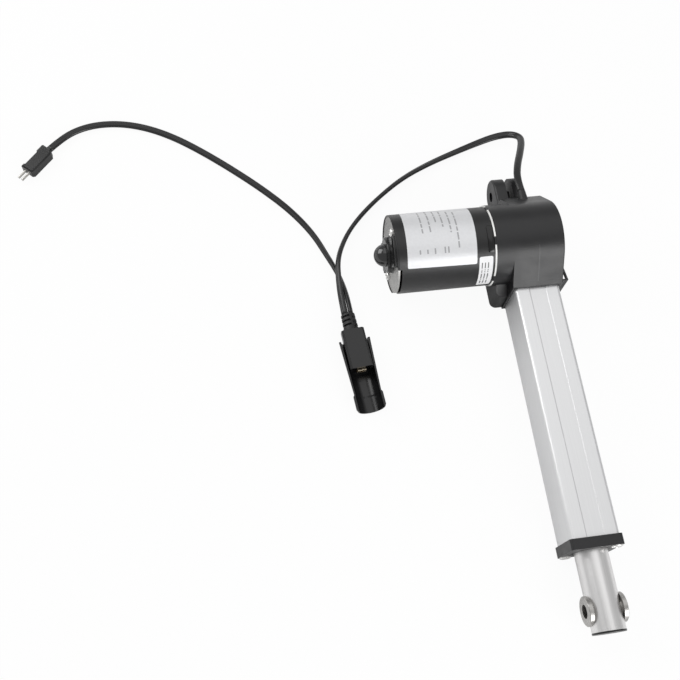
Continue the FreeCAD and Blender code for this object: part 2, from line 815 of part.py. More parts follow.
def spindle_parts():
    """The lead screw, what turns with it and the bearing that takes its thrust."""
    profile = [
        (0, d.spindle_rear),
        (d.spindle_stud_radius, d.spindle_rear),
        (d.spindle_stud_radius, d.spindle_shoulder),
        (d.spindle_radius, d.spindle_shoulder),
        (d.spindle_radius, d.spindle_end - d.end_ring_length),
        (d.spindle_stud_radius, d.spindle_end - d.end_ring_length),
        (d.spindle_stud_radius, d.spindle_end),
        (d.end_screw_shank, d.spindle_end),
        (d.end_screw_shank, d.spindle_end - d.spindle_screw_depth),
        (0, d.spindle_end - d.spindle_screw_depth),
    ]
    keep(turned("spindle", profile, SPINDLE_AXIS, TO_ROD))
    nut_start = d.spindle_shoulder - d.lock_nut_length - 0.5
    keep(ring("spindle_lock_nut", d.spindle_stud_radius, d.lock_nut_radius, nut_start,
              d.lock_nut_length, SPINDLE_AXIS, TO_ROD))
    low = d.motor_reach - d.wheel_length / 2
    hub = d.motor_reach - d.wheel_hub_length / 2
    wheel = [
        (d.spindle_radius, hub),
        (d.wheel_hub_radius, hub),
        (d.wheel_hub_radius, low),
        (d.wheel_radius, low),
        (d.wheel_radius, low + d.wheel_length),
        (d.wheel_hub_radius, low + d.wheel_length),
        (d.wheel_hub_radius, hub + d.wheel_hub_length),
        (d.spindle_radius, hub + d.wheel_hub_length),
    ]
    keep(turned("worm_wheel", wheel, SPINDLE_AXIS, TO_ROD))
    keep(ring("wheel_circlip", d.spindle_radius, d.circlip_radius, hub + d.wheel_hub_length,
              d.circlip_length, SPINDLE_AXIS, TO_ROD))
    keep(ring("spindle_end_ring", d.spindle_stud_radius, d.end_ring_radius,
              d.spindle_end - d.end_ring_length, d.end_ring_length, SPINDLE_AXIS, TO_ROD))
    keep(pan_screw("spindle_end_screw", 8.0, 2.5, d.end_screw_shank, d.spindle_screw_depth,
                   (d.clevis_offset, -d.spindle_end, 0), TO_ROD))
    keep(ring("spindle_bearing", d.spindle_radius + d.running_gap, d.bearing_radius,
              d.bearing_start, d.bearing_length, SPINDLE_AXIS, TO_ROD))
    keep(ring("spindle_bearing_plate", d.wheel_hub_radius, d.chamber_radius,
              d.bearing_start + d.bearing_length, d.bearing_plate_length, SPINDLE_AXIS, TO_ROD))


def motor_parts():
    """The motor, from the white ring outwards along its own axis."""
    front = d.motor_face + d.ring_length
    inner = d.can_radius - d.can_wall
    shaft_hole = d.motor_shaft_radius + d.running_gap

    def motor_ring(name, bore, radius, start, length):
        return keep(ring(name, bore, radius, start, length, MOTOR_AXIS, TO_MOTOR))

    motor_can(inner, front)
    motor_ring("motor_front_plate", d.front_bearing_radius, inner, front, d.front_plate_length)
    motor_ring("front_bearing", shaft_hole, d.front_bearing_radius, front, d.front_plate_length)

    magnets = []
    for index in range(2):
        spin = FreeCAD.Rotation(V(0, 0, 1), 180 * index)
        outside = bar(f"magnet_outside_{index}", inner, d.magnet_length, (0, 0, 0))
        inside = bar(f"magnet_inside_{index}", inner - d.magnet_wall, d.magnet_length, (0, 0, 0))
        bind(outside, "Angle", d.magnet_angle)
        base = (d.clevis_offset - d.magnet_start, -d.motor_reach, d.motor_rise)
        magnets.append(place(cut(f"magnet_{index}", outside, [inside]), base, TO_MOTOR.multiply(spin)))
    keep(group("motor_magnets", magnets))

    core_radius = inner - d.magnet_wall - d.air_gap
    core_end = d.core_start + d.core_length
    keep(bar("armature_shaft", d.motor_shaft_radius, d.motor_shaft_tip + d.motor_shaft_end,
             (d.clevis_offset + d.motor_shaft_tip, -d.motor_reach, d.motor_rise), TO_MOTOR))
    motor_ring("armature_core", d.motor_shaft_radius, core_radius, d.core_start, d.core_length)
    coils = []
    for index, start in enumerate((d.core_start - d.winding_length, core_end)):
        coil = ring(f"winding_{index}", d.motor_shaft_radius + 2, d.winding_radius, start,
                    d.winding_length, MOTOR_AXIS, TO_MOTOR)
        coils.append(coil)
    keep(group("armature_windings", coils))
    motor_ring("commutator", d.motor_shaft_radius, d.commutator_radius, d.commutator_start,
               d.commutator_length)
    motor_ring("worm", d.motor_shaft_radius, d.worm_radius, -d.worm_length / 2, d.worm_length)
    motor_ring("worm_end_bush", shaft_hole, d.end_bush_radius, -d.end_bush_start - d.end_bush_length,
               d.end_bush_length)

    brushes = []
    springs = []
    reach = d.commutator_radius + 0.3
    brush_x = d.clevis_offset - d.commutator_start - (d.commutator_length + d.brush_width) / 2
    for index, side in enumerate((-1, 1)):
        near = reach if side > 0 else -reach - d.brush_length
        leaf = reach + d.brush_length if side > 0 else -reach - d.brush_length - d.spring_leaf
        size = (d.brush_width, d.brush_length, d.brush_width)
        corner = (brush_x, near - d.motor_reach, d.motor_rise - d.brush_width / 2)
        brushes.append(block(f"brush_{index}", size, corner))
        size = (d.brush_width, d.spring_leaf, d.brush_width * 2)
        corner = (brush_x, leaf - d.motor_reach, d.motor_rise - d.brush_width)
        springs.append(block(f"brush_spring_{index}", size, corner))
    keep(group("brushes", brushes))
    keep(group("brush_springs", springs))

    plate = motor_ring("motor_end_plate", d.rear_bearing_radius, d.can_radius - d.end_plate_inset,
                       d.can_end, d.end_plate_length)
    plate_face = d.can_end + d.end_plate_length
    motor_ring("rear_bearing", shaft_hole, d.rear_bearing_radius, d.can_end,
               d.end_plate_length + d.bridge_length)
    brush_bridge(plate_face)
    dome_base = plate_face + d.bridge_boss_length
    shaft_cap(dome_base)
    screws = []
    for index, half_turn in enumerate((0, 180)):
        angle = math.radians(d.end_screw_tilt.value + half_turn)
        spot_y = d.end_screw_circle * math.sin(angle)
        spot_z = d.end_screw_circle * math.cos(angle)
        base = (d.clevis_offset - plate_face, spot_y - d.motor_reach, spot_z + d.motor_rise)
        name = f"motor_end_screw_{index}"
        head = (d.end_screw_head, d.end_screw_length)
        shank = (d.end_screw_shank, d.end_screw_depth)
        screws.append(pan_screw(name, *head, *shank, base, TO_MOTOR))
        hole = sketch_on(plate, "XY_Plane", d.can_end)
        circle(hole, spot_z, spot_y, d.end_screw_shank)
        pocket(plate, hole, d.end_plate_length)
    keep(group("motor_end_screws", screws))


def motor_can(inner, front):
    """The motor's tube, with a thin lip round the end plate and a notch in the lip."""
    lip_bore = d.can_radius - d.end_plate_inset
    lip_end = d.can_end + d.can_lip
    profile = [
        (inner, front),
        (d.can_radius, front),
        (d.can_radius, lip_end),
        (lip_bore, lip_end),
        (lip_bore, d.can_end),
        (inner, d.can_end),
    ]
    body = turned("motor_can", profile, MOTOR_AXIS, TO_MOTOR)

    def is_lip_edge(edge):
        box = edge.BoundBox
        return abs(box.ZMin - lip_end.value) < 1e-6 and box.YLength > 2 * d.can_radius.value - 0.1

    round_edges(body, d.can_lip_round, is_lip_edge)
    notch = sketch_on(body, "XY_Plane", d.can_end - d.can_notch)
    wedge = [(0, 0)]
    middle = (d.can_notch_start + d.can_notch_end) / 2
    for angle in (d.can_notch_start, middle, d.can_notch_end):
        turn = math.radians(angle.value)
        reach = 1.5 * d.can_radius
        wedge.append((reach * math.cos(turn), reach * -math.sin(turn)))
    outline(notch, wedge)
    pocket(body, notch, d.can_notch + d.can_lip)
    return keep(body)


def brush_bridge(plate_face):
    """The moulded bridge across the end plate, with a stepped boss round the shaft."""
    tilt = TO_MOTOR.multiply(FreeCAD.Rotation(V(0, 0, 1), -d.bridge_tilt.value))
    body = new_body("brush_bridge", MOTOR_AXIS, tilt)
    reach = d.can_radius - d.end_plate_inset - 1
    half = d.bridge_width / 2
    sketch = sketch_on(body, "XY_Plane", plate_face)
    rectangle(sketch, -reach * 0.88, -half, reach * 0.88, half)
    pad(body, sketch, d.bridge_length)
    round_edges(body, d.bridge_length, lambda edge: runs_along(edge, V(0, 0, 1)))
    boss = sketch_on(body, "XY_Plane", plate_face)
    circle(boss, 0, 0, d.bridge_boss_radius)
    pad(body, boss, d.bridge_boss_length)
    seat = sketch_on(body, "XY_Plane", plate_face)
    circle(seat, 0, 0, d.rear_bearing_radius)
    pocket(body, seat, d.bridge_length)
    return keep(body)


def shaft_cap(dome_base):
    """The glossy dome over the shaft's end."""
    body = new_body("shaft_cap", MOTOR_AXIS, TO_MOTOR)
    sketch = sketch_on(body, "XZ_Plane")
    radius = d.dome_radius
    foot = V(radius.value, dome_base.value, 0)
    crown = V(0, dome_base.value + radius.value, 0)
    middle = V(radius.value * math.sqrt(0.5), dome_base.value + radius.value * math.sqrt(0.5), 0)
    arc = sketch.addGeometry(Part.Arc(foot, middle, crown), False)
    axis = sketch.addGeometry(Part.LineSegment(crown, V(0, dome_base.value, 0)), False)
    base = sketch.addGeometry(Part.LineSegment(V(0, dome_base.value, 0), foot), False)
    sketch.addConstraint(Sketcher.Constraint("Coincident", arc, 2, axis, 1))
    sketch.addConstraint(Sketcher.Constraint("Coincident", axis, 2, base, 1))
    sketch.addConstraint(Sketcher.Constraint("Coincident", base, 2, arc, 1))
    sketch.addConstraint(Sketcher.Constraint("Coincident", arc, 3, axis, 2))
    fix_point(sketch, base, 1, 0, dome_base)
    fix_point(sketch, base, 2, radius, dome_base)
    sketch.addConstraint(Sketcher.Constraint("Vertical", axis))
    feature = body.newObject("PartDesign::Revolution", "shaft_cap_turn")
    feature.Profile = sketch
    feature.ReferenceAxis = (sketch, ["V_Axis"])
    feature.Angle = 360
    return keep(body)


def lead(name, points, radius):
    """A round lead: straight runs joined by arcs as large as the runs allow."""
    corners = [V(*point) for point in points]
    edges = []
    last = corners[0]
    radii = []
    for before, corner, after in zip(corners, corners[1:], corners[2:]):
        back = (before - corner).normalize()
        ahead = (after - corner).normalize()
        turn = math.pi - back.getAngle(ahead)
        shorter = min((before - corner).Length, (after - corner).Length)
        trim = 0.45 * shorter
        arc_radius = trim / math.tan(turn / 2)
        radii.append(round(arc_radius, 1))
        start = corner + back * trim
        end = corner + ahead * trim
        inward = (back + ahead).normalize()
        middle = corner + inward * (arc_radius / math.cos(turn / 2) - arc_radius)
        edges.append(Part.LineSegment(last, start).toShape())
        edges.append(Part.Arc(start, middle, end).toShape())
        last = end
    edges.append(Part.LineSegment(last, corners[-1]).toShape())
    path = Part.Wire(edges)
    section = Part.Wire(Part.Circle(corners[0], corners[1] - corners[0], radius).toShape())
    item = doc.addObject("Part::Feature", name)
    item.Shape = path.makePipeShell([section], True, False)
    item.Placement = FreeCAD.Placement()
    expected = math.pi * radius ** 2 * path.Length
    print(name, "length", round(path.Length, 1), "volume ratio", round(item.Shape.Volume / expected, 4))
    print(name, "radii", radii)
    return keep(item)


def cable_boot(housing):
    """The tapered grommet where the motor's lead leaves the housing's upper slope."""
    start = V(*BOOT_BASE)
    axis = V(*BOOT_TIP) - start
    taper = turned("boot_taper", [
        (0, 0),
        (d.boot_base_radius, 0),
        (d.boot_tip_radius, axis.Length),
        (0, axis.Length),
    ], BOOT_BASE, FreeCAD.Rotation(V(0, 0, 1), axis))
    return keep(cut("cable_boot", taper, [housing]))


def socket_frame():
    return FreeCAD.Rotation(V(0, 0, 1), SOCKET_TURN)


def socket_parts():
    """The in-line socket: ribbed relief, D-shaped body, contacts and the open scoop round them."""
    frame = socket_frame()
    relief = [(0, 0), (d.relief_tip_radius, 0)]
    ribs = int(d.relief_ribs.value)
    pitch = d.relief_length / (ribs + 1)
    for index in range(ribs):
        radius = d.relief_tip_radius + (d.relief_radius - d.relief_tip_radius) * ((index + 1) / ribs)
        start = pitch * (index + 0.55)
        relief.append((radius, start))
        relief.append((radius - d.relief_groove, start))
        relief.append((radius - d.relief_groove, start + pitch * 0.4))
        relief.append((radius, start + pitch * 0.4))
    relief.append((d.relief_radius, d.relief_length))
    relief.append((0, d.relief_length))
    keep(turned("socket_strain_relief", relief, SOCKET_PLACE, frame.multiply(TO_ROD)))

    axis_rise = d.shell_radius - d.back_drop
    axis_place = (SOCKET_PLACE[0], SOCKET_PLACE[1], axis_rise)
    body = new_body("socket_body", axis_place, frame)
    sketch = sketch_on(body, "XZ_Plane", d.relief_length)
    half = d.socket_width / 2
    side = [
        (half - d.socket_edge, d.socket_top),
        (half, d.socket_top - d.socket_edge),
        (half, d.socket_top * -0.6),
        (half * 0.7, d.socket_radius * -0.75),
        (half * 0.32, d.socket_radius * -0.95),
    ]
    outline(sketch, side + [(-u, v) for u, v in reversed(side)])
    pad(body, sketch, d.socket_length)
    mouth_start = d.relief_length + d.socket_length - d.socket_mouth_depth
    mouth = sketch_on(body, "XZ_Plane", mouth_start)
    mouth_half = d.socket_mouth_width / 2
    high = d.socket_top - 2
    rectangle(mouth, -mouth_half, high - d.socket_mouth_height, mouth_half, high)
    pocket(body, mouth, d.socket_mouth_depth)
    keep(body)

    contacts = []
    for index, side in enumerate((-1, 1)):
        blade = new_body(f"socket_contact_{index}", axis_place, frame)
        sketch = sketch_on(blade, "XZ_Plane", mouth_start)
        middle = high - d.socket_mouth_height / 2 + side * 1.6
        half_height = d.contact_height / 2
        half_width = d.contact_width / 2
        rectangle(sketch, -half_width, middle - half_height, half_width, middle + half_height)
        pad(blade, sketch, d.contact_length)
        contacts.append(blade)
    keep(group("socket_contacts", contacts))

    outside = [
        (d.shell_radius, d.shell_start),
        (d.waist_radius, d.shell_waist),
        (d.collar_radius, d.shell_waist + 1.5),
        (d.collar_radius, d.shell_end - 2),
        (d.collar_radius - 1, d.shell_end),
    ]
    inside = [
        (d.collar_radius - d.shell_wall, d.shell_end),
        (d.collar_radius - d.shell_wall, d.shell_waist + 1.5),
        (d.waist_radius - d.shell_wall * 0.6, d.shell_waist),
        (d.shell_radius - d.shell_wall, d.shell_start),
    ]
    half_turn = FreeCAD.Rotation(V(0, 0, 1), 180)
    open_up = frame.multiply(TO_ROD).multiply(half_turn)
    keep(turned("socket_shell", outside + inside, axis_place, open_up, 180))


def plug_parts():
    """The small two-pin plug, with a rear corner cut off and a ledge along one side."""
    frame = FreeCAD.Rotation(V(0, 0, 1), PLUG_TURN)
    body = new_body("plug_body", PLUG_PLACE, frame)
    half = d.plug_width / 2
    sketch = sketch_on(body, "XY_Plane", -d.plug_height / 2)
    outline(sketch, [
        (d.plug_corner - half, 0),
        (half - d.plug_chamfer, 0),
        (half, -d.plug_chamfer),
        (half, d.plug_front_corner - d.plug_length),
        (half - d.plug_front_corner, -d.plug_length),
        (-half, -d.plug_length),
        (-half, -d.plug_corner),
    ])
    pad(body, sketch, d.plug_height)
    high = d.plug_height.value / 2
    round_edges(body, d.plug_edge, lambda edge: abs(edge.BoundBox.ZMin - high) < 1e-6, "Chamfer", "Size")
    ledge = sketch_on(body, "XY_Plane", d.plug_height / 2 - d.plug_ledge_drop)
    rectangle(ledge, -half - 1, -d.plug_ledge_end, d.plug_ledge_width - half, -d.plug_ledge_start)
    pocket(body, ledge, d.plug_ledge_drop + 1)
    keep(body)
    pins = []
    for index, side in enumerate((-1, 1)):
        spot = frame.multVec(V(side * d.pin_spacing.value / 2, -d.plug_length.value, 0))
        base = [start + shift for start, shift in zip(PLUG_PLACE, spot)]
        pins.append(bar(f"plug_pin_{index}", d.pin_radius, d.pin_length, base, frame.multiply(TO_ROD)))
    keep(group("plug_pins", pins))


def check_document():
    """Stops the build if any object failed or any sub-part isn't a sound solid."""
    for item in doc.Objects:
        bad = {"Invalid", "Error"} & set(item.State)
        if bad:
            raise RuntimeError(f"{item.Name} failed: {item.State}")
    for item in subparts:
        shape = item.Shape
        if shape.isNull() or not shape.isValid() or not shape.Solids:
            raise RuntimeError(f"{item.Label} has no sound solid")


def write_parts():
    os.makedirs("parts", exist_ok=True)
    for item in subparts:
        item.Shape.exportStep(f"parts/{item.Label}.step")
        print(item.Label, len(item.Shape.Solids), round(item.Shape.Volume / 1000, 2), "cm3")


housing = gear_housing()
adapter_ring()
outer_tube()
tube_end_cap()
end_cap_screws()
rod_parts()
limit_switches()
spindle_parts()
motor_parts()
cable_boot(housing)
lead("motor_cable", MOTOR_LEAD, d.motor_cord_radius.value)
lead("plug_cable", PLUG_LEAD, d.plug_cord_radius.value)
socket_parts()
plug_parts()
doc.recompute()
check_document()
write_parts()
print(len(subparts), "sub-parts")
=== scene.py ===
# %% [markdown]
# # Dressing an electric linear actuator
# A motor turns a worm, the worm turns a wheel on a long spindle, and the spindle pushes a round rod out
# of a square tube. The CAD model already has every piece in its place, in metres. This lesson gives each
# piece its finish, and adds what CAD leaves plain: the flat leads, the labels, the screw heads and the
# small marks that a mould and a press leave.

# %% Load the CAD model
import math

import bmesh
import bpy
from mathutils import Matrix, Vector


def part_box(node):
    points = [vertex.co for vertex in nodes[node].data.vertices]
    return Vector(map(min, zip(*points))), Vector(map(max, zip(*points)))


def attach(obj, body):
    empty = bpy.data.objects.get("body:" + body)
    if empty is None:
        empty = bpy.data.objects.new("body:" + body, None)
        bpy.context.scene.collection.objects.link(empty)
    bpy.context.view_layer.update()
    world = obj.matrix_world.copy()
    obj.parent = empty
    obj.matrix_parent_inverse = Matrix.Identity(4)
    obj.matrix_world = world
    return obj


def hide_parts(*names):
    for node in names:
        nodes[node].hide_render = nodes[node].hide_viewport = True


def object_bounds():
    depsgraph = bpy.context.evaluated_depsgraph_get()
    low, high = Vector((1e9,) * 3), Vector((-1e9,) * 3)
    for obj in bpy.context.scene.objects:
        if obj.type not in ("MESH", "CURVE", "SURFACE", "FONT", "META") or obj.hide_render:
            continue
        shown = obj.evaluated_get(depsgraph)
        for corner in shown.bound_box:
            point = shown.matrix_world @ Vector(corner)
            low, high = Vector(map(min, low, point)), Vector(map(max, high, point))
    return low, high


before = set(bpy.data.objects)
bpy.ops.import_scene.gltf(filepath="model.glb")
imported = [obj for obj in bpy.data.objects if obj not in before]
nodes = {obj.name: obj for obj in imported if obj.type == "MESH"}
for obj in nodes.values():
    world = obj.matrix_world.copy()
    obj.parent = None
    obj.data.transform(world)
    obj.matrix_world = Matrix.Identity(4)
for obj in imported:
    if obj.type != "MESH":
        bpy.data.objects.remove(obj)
cad_low, cad_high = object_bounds()
scene = bpy.context.scene
scene.view_settings.view_transform = "Standard"
print("CAD pieces:", len(nodes))

# %% [markdown]
# ## Camera
# The camera comes first, because everything else is judged through it. It looks down on the actuator from
# the motor's side, with a little roll. Three angles could say that, but an eye point and two directions
# are plainer: the columns of a rotation matrix are the camera's right, up and backward directions.

# %% Camera
CAMERA_EYE = Vector((-0.24378, -0.38742, 0.68533))
CAMERA_RIGHT = Vector((0.988456, -0.135566, 0.067657))
CAMERA_UP = Vector((0.100628, 0.921239, 0.375757))
CAMERA_SENSOR = 36
CAMERA_LENS = 49.33
camera_data = bpy.data.cameras.new("studio_camera")
camera_data.sensor_width = CAMERA_SENSOR
camera_data.lens = CAMERA_LENS
camera = bpy.data.objects.new("studio_camera", camera_data)
camera_back = CAMERA_RIGHT.cross(CAMERA_UP)
camera_turn = Matrix((CAMERA_RIGHT, CAMERA_UP, camera_back)).transposed()
camera.matrix_world = Matrix.Translation(CAMERA_EYE) @ camera_turn.to_4x4()
scene.collection.objects.link(camera)
scene.camera = camera
print("camera looks along", [round(x, 3) for x in -camera_back])

# %% [markdown]
# ## Floor and light
# The actuator lies on a white table between three soft lamps: in front on the right, above, and behind on
# the left. Stronger lamps would also turn the table white, but they would wash out the metal. So the
# camera sees the table and the sky glow with a light that falls on nothing, and the metal reflects some
# of that glow. A share of plain diffuse white stays in the table, so that it still takes a faint shadow.


# %% Glow by kind of ray
def mix_by_ray(tree, shares, plain, glow):
    """Mixes a glow into a plain shader, by a share for each kind of ray that sees it."""
    path = tree.nodes.new("ShaderNodeLightPath")
    mix = tree.nodes.new("ShaderNodeMixShader")
    tree.links.new(plain.outputs[0], mix.inputs[1])
    tree.links.new(glow.outputs[0], mix.inputs[2])
    total = None
    for ray, share in shares.items():
        step = tree.nodes.new("ShaderNodeMath")
        step.operation = "MULTIPLY_ADD"
        step.inputs[1].default_value = share
        step.inputs[2].default_value = 0
        tree.links.new(path.outputs[ray], step.inputs[0])
        if total:
            tree.links.new(total, step.inputs[2])
        total = step.outputs[0]
    tree.links.new(total, mix.inputs["Fac"])
    return mix


# %% Floor
FLOOR_GAP = 0.0002
FLOOR_SIZE = 3.0
TABLE_WHITE = (0.85, 0.85, 0.85, 1)
TABLE_GLOW = {"Is Camera Ray": 0.94, "Is Glossy Ray": 0.18, "Is Transmission Ray": 0.94}


def link_mesh(name, shape):
    """Turns a bmesh into an object at the origin."""
    mesh = bpy.data.meshes.new(name)
    shape.to_mesh(mesh)
    shape.free()
    piece = bpy.data.objects.new(name, mesh)
    scene.collection.objects.link(piece)
    return piece


def table_white():
    """White that the camera and the metal see as lit, with a share that takes shadow."""
    material = bpy.data.materials.new("table_white")
    material.use_nodes = True
    tree = material.node_tree
    tree.nodes.clear()
    matt = tree.nodes.new("ShaderNodeBsdfDiffuse")
    matt.inputs["Color"].default_value = TABLE_WHITE
    mix = mix_by_ray(tree, TABLE_GLOW, matt, tree.nodes.new("ShaderNodeEmission"))
    output = tree.nodes.new("ShaderNodeOutputMaterial")
    tree.links.new(mix.outputs[0], output.inputs["Surface"])
    return material


floor_height = cad_low[2] - FLOOR_GAP
table_shape = bmesh.new()
bmesh.ops.create_grid(table_shape, x_segments=1, y_segments=1, size=FLOOR_SIZE)
bmesh.ops.translate(table_shape, verts=table_shape.verts, vec=(0, 0, floor_height))
table = link_mesh("table", table_shape)
table.data.materials.append(table_white())
print("table at height", round(floor_height, 4))

# %% Lamps
ACTUATOR_MIDDLE = Vector((-0.1, -0.12, 0.0))
SOFTBOXES = {
    "front_softbox": {"place": (0.6, -1.4, 0.68), "size": 1.0, "power": 14},
    "top_softbox": {"place": (0.1, 0.42, 1.45), "size": 1.6, "power": 5},
    "left_softbox": {"place": (-1.15, 0.64, 0.75), "size": 1.0, "power": 9},
}


def softbox(name, place, size, power):
    """A square lamp that faces the middle of the actuator."""
    data = bpy.data.lights.new(name, "AREA")
    data.size = size
    data.energy = power
    lamp = bpy.data.objects.new(name, data)
    lamp.location = place
    aim = ACTUATOR_MIDDLE - Vector(place)
    lamp.rotation_mode = "QUATERNION"
    lamp.rotation_quaternion = aim.to_track_quat("-Z", "Y")
    scene.collection.objects.link(lamp)


for name, lamp_values in SOFTBOXES.items():
    softbox(name, **lamp_values)
print("lamps:", list(SOFTBOXES))

# %% Sky
SKY_LIGHT = 0.48
SKY_WHITE = (1, 1, 1, 1)
SKY_GLOW = {"Is Camera Ray": 1.0, "Is Glossy Ray": 0.05, "Is Transmission Ray": 1.0}
world = bpy.data.worlds.new("studio")
scene.world = world
world.use_nodes = True
sky_tree = world.node_tree
sky = sky_tree.nodes["Background"]
sky.inputs["Color"].default_value = SKY_WHITE
sky.inputs["Strength"].default_value = SKY_LIGHT
white_sky = sky_tree.nodes.new("ShaderNodeBackground")
white_sky.inputs["Color"].default_value = SKY_WHITE
sky_mix = mix_by_ray(sky_tree, SKY_GLOW, sky, white_sky)
sky_tree.links.new(sky_mix.outputs[0], sky_tree.nodes["World Output"].inputs["Surface"])
print("sky lights with strength", SKY_LIGHT)

# %% [markdown]
# ## Finishes
# Each finish is a Principled shader. Even values alone look like a drawing, and a photograph of a surface
# would need unwrapping, so colour, roughness and relief come from noise on Object coordinates, which
# gives the pattern a real size in metres. One noise can be stretched along an axis, which turns spots
# into the long lines that a die leaves on drawn metal. The helpers here make such a noise and lead it
# into the shader.

# %% Noise
NOISE_LOW = 0.3
NOISE_HIGH = 0.7


def shader_of(material):
    """The Principled shader of a material."""
    return material.node_tree.nodes["Principled BSDF"]


def new_finish(name, color, roughness, metallic=0.0):
    """A material with even values, ready for its pattern."""
    material = bpy.data.materials.new(name)
    material.use_nodes = True
    shader = shader_of(material)
    shader.inputs["Base Color"].default_value = (*color, 1)
    shader.inputs["Roughness"].default_value = roughness
    shader.inputs["Metallic"].default_value = metallic
    return material


def speckle(material, scale, detail=4.0, stretch=(1, 1, 1)):
    """Noise of a real size; stretch below 1 along an axis draws it out into lines."""
    tree = material.node_tree
    place = tree.nodes.new("ShaderNodeTexCoord")
    spread = tree.nodes.new("ShaderNodeMapping")
    spread.inputs["Scale"].default_value = stretch
    noise = tree.nodes.new("ShaderNodeTexNoise")
    noise.inputs["Scale"].default_value = scale
    noise.inputs["Detail"].default_value = detail
    tree.links.new(place.outputs["Object"], spread.inputs["Vector"])
    tree.links.new(spread.outputs["Vector"], noise.inputs["Vector"])
    return noise.outputs[0]


# %% What the noise drives
def tint(material, pattern, color, darkest, lightest):
    """The pattern runs the colour between two shares of itself."""
    tree = material.node_tree
    ramp = tree.nodes.new("ShaderNodeValToRGB")
    ends = zip(ramp.color_ramp.elements, (NOISE_LOW, NOISE_HIGH), (darkest, lightest))
    for end, position, share in ends:
        end.position = position
        end.color = (*[channel * share for channel in color], 1)
    tree.links.new(pattern, ramp.inputs["Fac"])
    tree.links.new(ramp.outputs["Color"], shader_of(material).inputs["Base Color"])


def roughen(material, pattern, smoothest, roughest):
    """The pattern runs the roughness between two values."""
    tree = material.node_tree
    span = tree.nodes.new("ShaderNodeMapRange")
    span.inputs["From Min"].default_value = NOISE_LOW
    span.inputs["From Max"].default_value = NOISE_HIGH
    span.inputs["To Min"].default_value = smoothest
    span.inputs["To Max"].default_value = roughest
    tree.links.new(pattern, span.inputs["Value"])
    tree.links.new(span.outputs["Result"], shader_of(material).inputs["Roughness"])


def emboss(material, pattern, height):
    """The pattern raises the surface by up to a height in metres."""
    tree = material.node_tree
    bump = tree.nodes.new("ShaderNodeBump")
    bump.inputs["Distance"].default_value = height
    tree.links.new(pattern, bump.inputs["Height"])
    tree.links.new(bump.outputs["Normal"], shader_of(material).inputs["Normal"])


# %% Plastics and rubber
MOULD_GRAIN = 0.00003
DOME_IOR = 1.75


def moulded(name, color, roughness, grain=MOULD_GRAIN):
    """Injection-moulded plastic: clouds of flow, and the fine grain of a spark-eroded mould."""
    material = new_finish(name, color, roughness)
    clouds = speckle(material, scale=60)
    tint(material, clouds, color, darkest=0.88, lightest=1.12)
    roughen(material, clouds, smoothest=roughness - 0.05, roughest=roughness + 0.05)
    emboss(material, speckle(material, scale=1500, detail=2), height=grain)
    return material


housing_plastic = moulded("housing_plastic", (0.009, 0.009, 0.01), 0.37)
black_plastic = moulded("black_plastic", (0.008, 0.008, 0.0085), 0.32)
gloss_black = moulded("gloss_black", (0.003, 0.003, 0.0034), 0.2, grain=0.000005)
dome_gloss = moulded("dome_gloss", (0.003, 0.003, 0.0034), 0.1, grain=0.000002)
shader_of(dome_gloss).inputs["IOR"].default_value = DOME_IOR
socket_plastic = moulded("socket_plastic", (0.007, 0.007, 0.0075), 0.23)
white_plastic = moulded("white_plastic", (0.86, 0.86, 0.84), 0.45)
natural_plastic = moulded("natural_plastic", (0.8, 0.78, 0.7), 0.42)
black_rubber = moulded("black_rubber", (0.009, 0.009, 0.0095), 0.5, grain=0.00005)
lead_sheath = moulded("lead_sheath", (0.009, 0.009, 0.0095), 0.28, grain=0.00001)
pressed_carbon = moulded("pressed_carbon", (0.05, 0.05, 0.05), 0.7, grain=0.00008)
board_lacquer = moulded("board_lacquer", (0.03, 0.16, 0.07), 0.3)
print("plastics ready")

# %% [markdown]
# ## Metals
# The tube comes out of a die and is anodised, and the rod and the shafts are ground, so they have long
# faint lines and a soft sheen. Small plated pieces have clouds and dents instead, and painted steel has
# the orange-peel skin of a sprayed coat. An anisotropic shader could give the lines too, but then they
# would have no size. Noise stretched along the piece shows lines as fine as real ones.

# %% Drawn, plated and painted
LINE_HEIGHT = 0.000001
PLATING_DENTS = 0.00002
ORANGE_PEEL = 0.00002


def drawn_metal(name, color, roughness, stretch, line_height=LINE_HEIGHT):
    """Metal with lines along the direction it was drawn or ground in."""
    material = new_finish(name, color, roughness, metallic=1.0)
    lines = speckle(material, scale=1600, detail=3, stretch=stretch)
    tint(material, lines, color, darkest=0.97, lightest=1.02)
    roughen(material, lines, smoothest=roughness - 0.03, roughest=roughness + 0.03)
    emboss(material, lines, height=line_height)
    return material


def plated_metal(name, color, roughness):
    """Small plated pieces: soft clouds in the plating and tiny dents from the tumbling drum."""
    material = new_finish(name, color, roughness, metallic=1.0)
    clouds = speckle(material, scale=260)
    tint(material, clouds, color, darkest=0.88, lightest=1.06)
    roughen(material, clouds, smoothest=roughness - 0.07, roughest=roughness + 0.09)
    emboss(material, speckle(material, scale=900, detail=3), height=PLATING_DENTS)
    return material


def sprayed_paint(name, color, roughness):
    """A sprayed coat over steel."""
    material = new_finish(name, color, roughness)
    tint(material, speckle(material, scale=40), color, darkest=0.85, lightest=1.15)
    roughen(material, speckle(material, scale=180), smoothest=roughness - 0.04, roughest=roughness + 0.05)
    emboss(material, speckle(material, scale=700, detail=1), height=ORANGE_PEEL)
    return material


